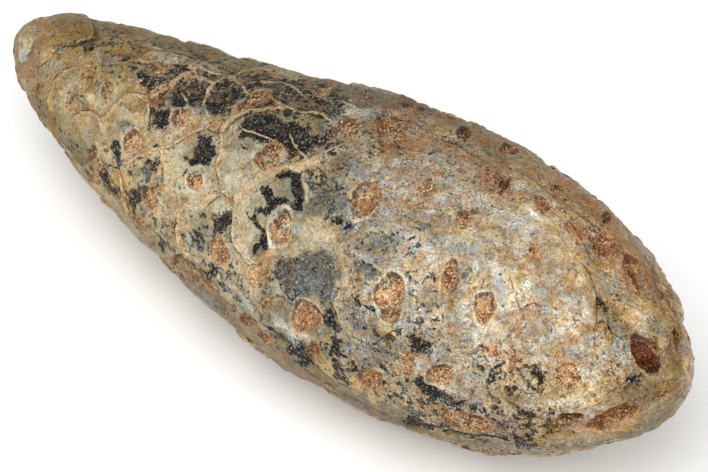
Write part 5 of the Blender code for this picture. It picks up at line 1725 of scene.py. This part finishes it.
def crystalMaterial():
    # Iron-stained quartz grains
    material, tree, shader, place = newMaterial("iron_stained_quartz")
    tones = stoneTones
    pick, red, wallShading, cavity, mottleAndShade = (
        attributeOf(tree, name) for name in ("crystalTone", "pitRed", "pitWallShading", "cavity", "mottleAndShade")
    )
    patch = noiseAt(tree, place, 700.0, 2.0)
    shown = tones["amber"]
    # Crystals on the wall turned from the light get painted shade, those on the wall across a painted
    # highlight
    wallShading = wallShading + (pick - 0.5) * 0.9
    # Crystals in the deep hollows are painted near black and iron red, the black as shade
    sunk = (cavity + (pick - 0.5) * 0.4).above(0.4, 3.0)
    deep = blended(tree, pick.above(0.45, 9.0), tones["hollow"], tones["deepRed"])
    for share, layer in (
        ((patch + (red - 0.5) * 0.5).above(0.5, 4.0), tones["rust"]),
        ((pick + red * 0.35).above(1.00, 6.0) * 0.8, tones["ember"]),
        (wallShading.above(0.30, 4.0) * 0.7, tones["ember"]),
        (wallShading.above(-0.40, -4.0) * 0.4, tones["quartz"]),
        (sunk * 0.86, deep),
        ((pick + red * 0.3).above(0.34, -6.0) * 0.60 * (sunk * -0.85 + 1.0), tones["quartz"]),
    ):
        shown = blended(tree, share, shown, layer)
    # Crystals take the same darker and lighter ground, partly painted shade and light
    dim = ((patch - 0.5) * 0.8 + 0.84) * (mottleAndShade * -0.28 + 1.0)
    plug(tree, blended(tree, 1.0, shown, dim, "MULTIPLY"), shader.inputs["Base Color"])
    shader.inputs["Roughness"].default_value = 0.4
    roughen(tree, shader, noiseAt(tree, place, 6000.0, 1.0), 0.3, 0.00008)
    return material


def addPiece(name, mesh):
    piece = bpy.data.objects.new(name, mesh)
    bpy.context.scene.collection.objects.link(piece)
    return piece


def claim(piece):
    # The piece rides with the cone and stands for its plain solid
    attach(piece, "root")
    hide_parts("seed_cone")


skinSource = addPiece("skin_source", skinMesh(skinFields()))
skinSource.data.shade_smooth()
coneSkin = addPiece("cone_skin", grownMesh(skinSource, reliefTree(stoneMaterial()), reliefSizes))
bpy.data.objects.remove(skinSource, do_unlink=True)
print("cone skin:", len(coneSkin.data.polygons), "faces")

crystalMesh = grownMesh(coneSkin, crystalTree(crystalMaterial()), crystalSizes)
pitCrystals = addPiece("pit_crystals", crystalMesh)
print("pit crystals:", len(pitCrystals.data.polygons), "faces")

claim(coneSkin)
claim(pitCrystals)


# Floor and light: sizes in metres, strengths in watts. A lamp's bearing counts its
# shares to the camera's right, above it and back towards it.
studio = {
    "floorHalf": 3.0,
    "floorTone": tone("#fbfbfa"),
    "floorRoughness": 0.9,
    "worldStrength": 0.57,
    "lampDistance": 0.60,
    "keyPower": 3.2,
    "keySize": 0.60,
    "keyBearing": (-0.28, 0.36, 0.89),
    "fillPower": 2.2,
    "fillSize": 0.50,
    "fillBearing": (0.60, -0.40, 0.70),
}


def addLamp(name):
    right, up, back = studio[name + "Bearing"]
    bearing = Vector(right * viewRight + up * viewUp + back * viewBack).normalized()
    lamp = bpy.data.objects.new(name + "_light", bpy.data.lights.new(name, "AREA"))
    lamp.data.energy = studio[name + "Power"]
    lamp.data.size = studio[name + "Size"]
    lamp.location = bearing * studio["lampDistance"]
    lamp.rotation_mode = "QUATERNION"
    lamp.rotation_quaternion = (-bearing).to_track_quat("-Z", "Y")
    bpy.context.scene.collection.objects.link(lamp)


def makeStudio():
    mesh = bpy.data.meshes.new("floor")
    half = studio["floorHalf"]
    corners = [(-half, -half, 0.0), (half, -half, 0.0), (half, half, 0.0), (-half, half, 0.0)]
    mesh.from_pydata(corners, [], [(0, 1, 2, 3)])
    floor = addPiece("studio_floor", mesh)
    material, tree, shader, place = newMaterial("studio_paper")
    shader.inputs["Base Color"].default_value = studio["floorTone"]
    shader.inputs["Roughness"].default_value = studio["floorRoughness"]
    mesh.materials.append(material)
    addLamp("key")
    addLamp("fill")
    world = bpy.data.worlds.new("studio")
    bpy.context.scene.world = world
    world.use_nodes = True
    background = world.node_tree.nodes["Background"]
    background.inputs["Color"].default_value = (1.0, 1.0, 1.0, 1.0)
    background.inputs["Strength"].default_value = studio["worldStrength"]
    bpy.context.scene.view_settings.view_transform = "Standard"


makeStudio()
print("studio set")
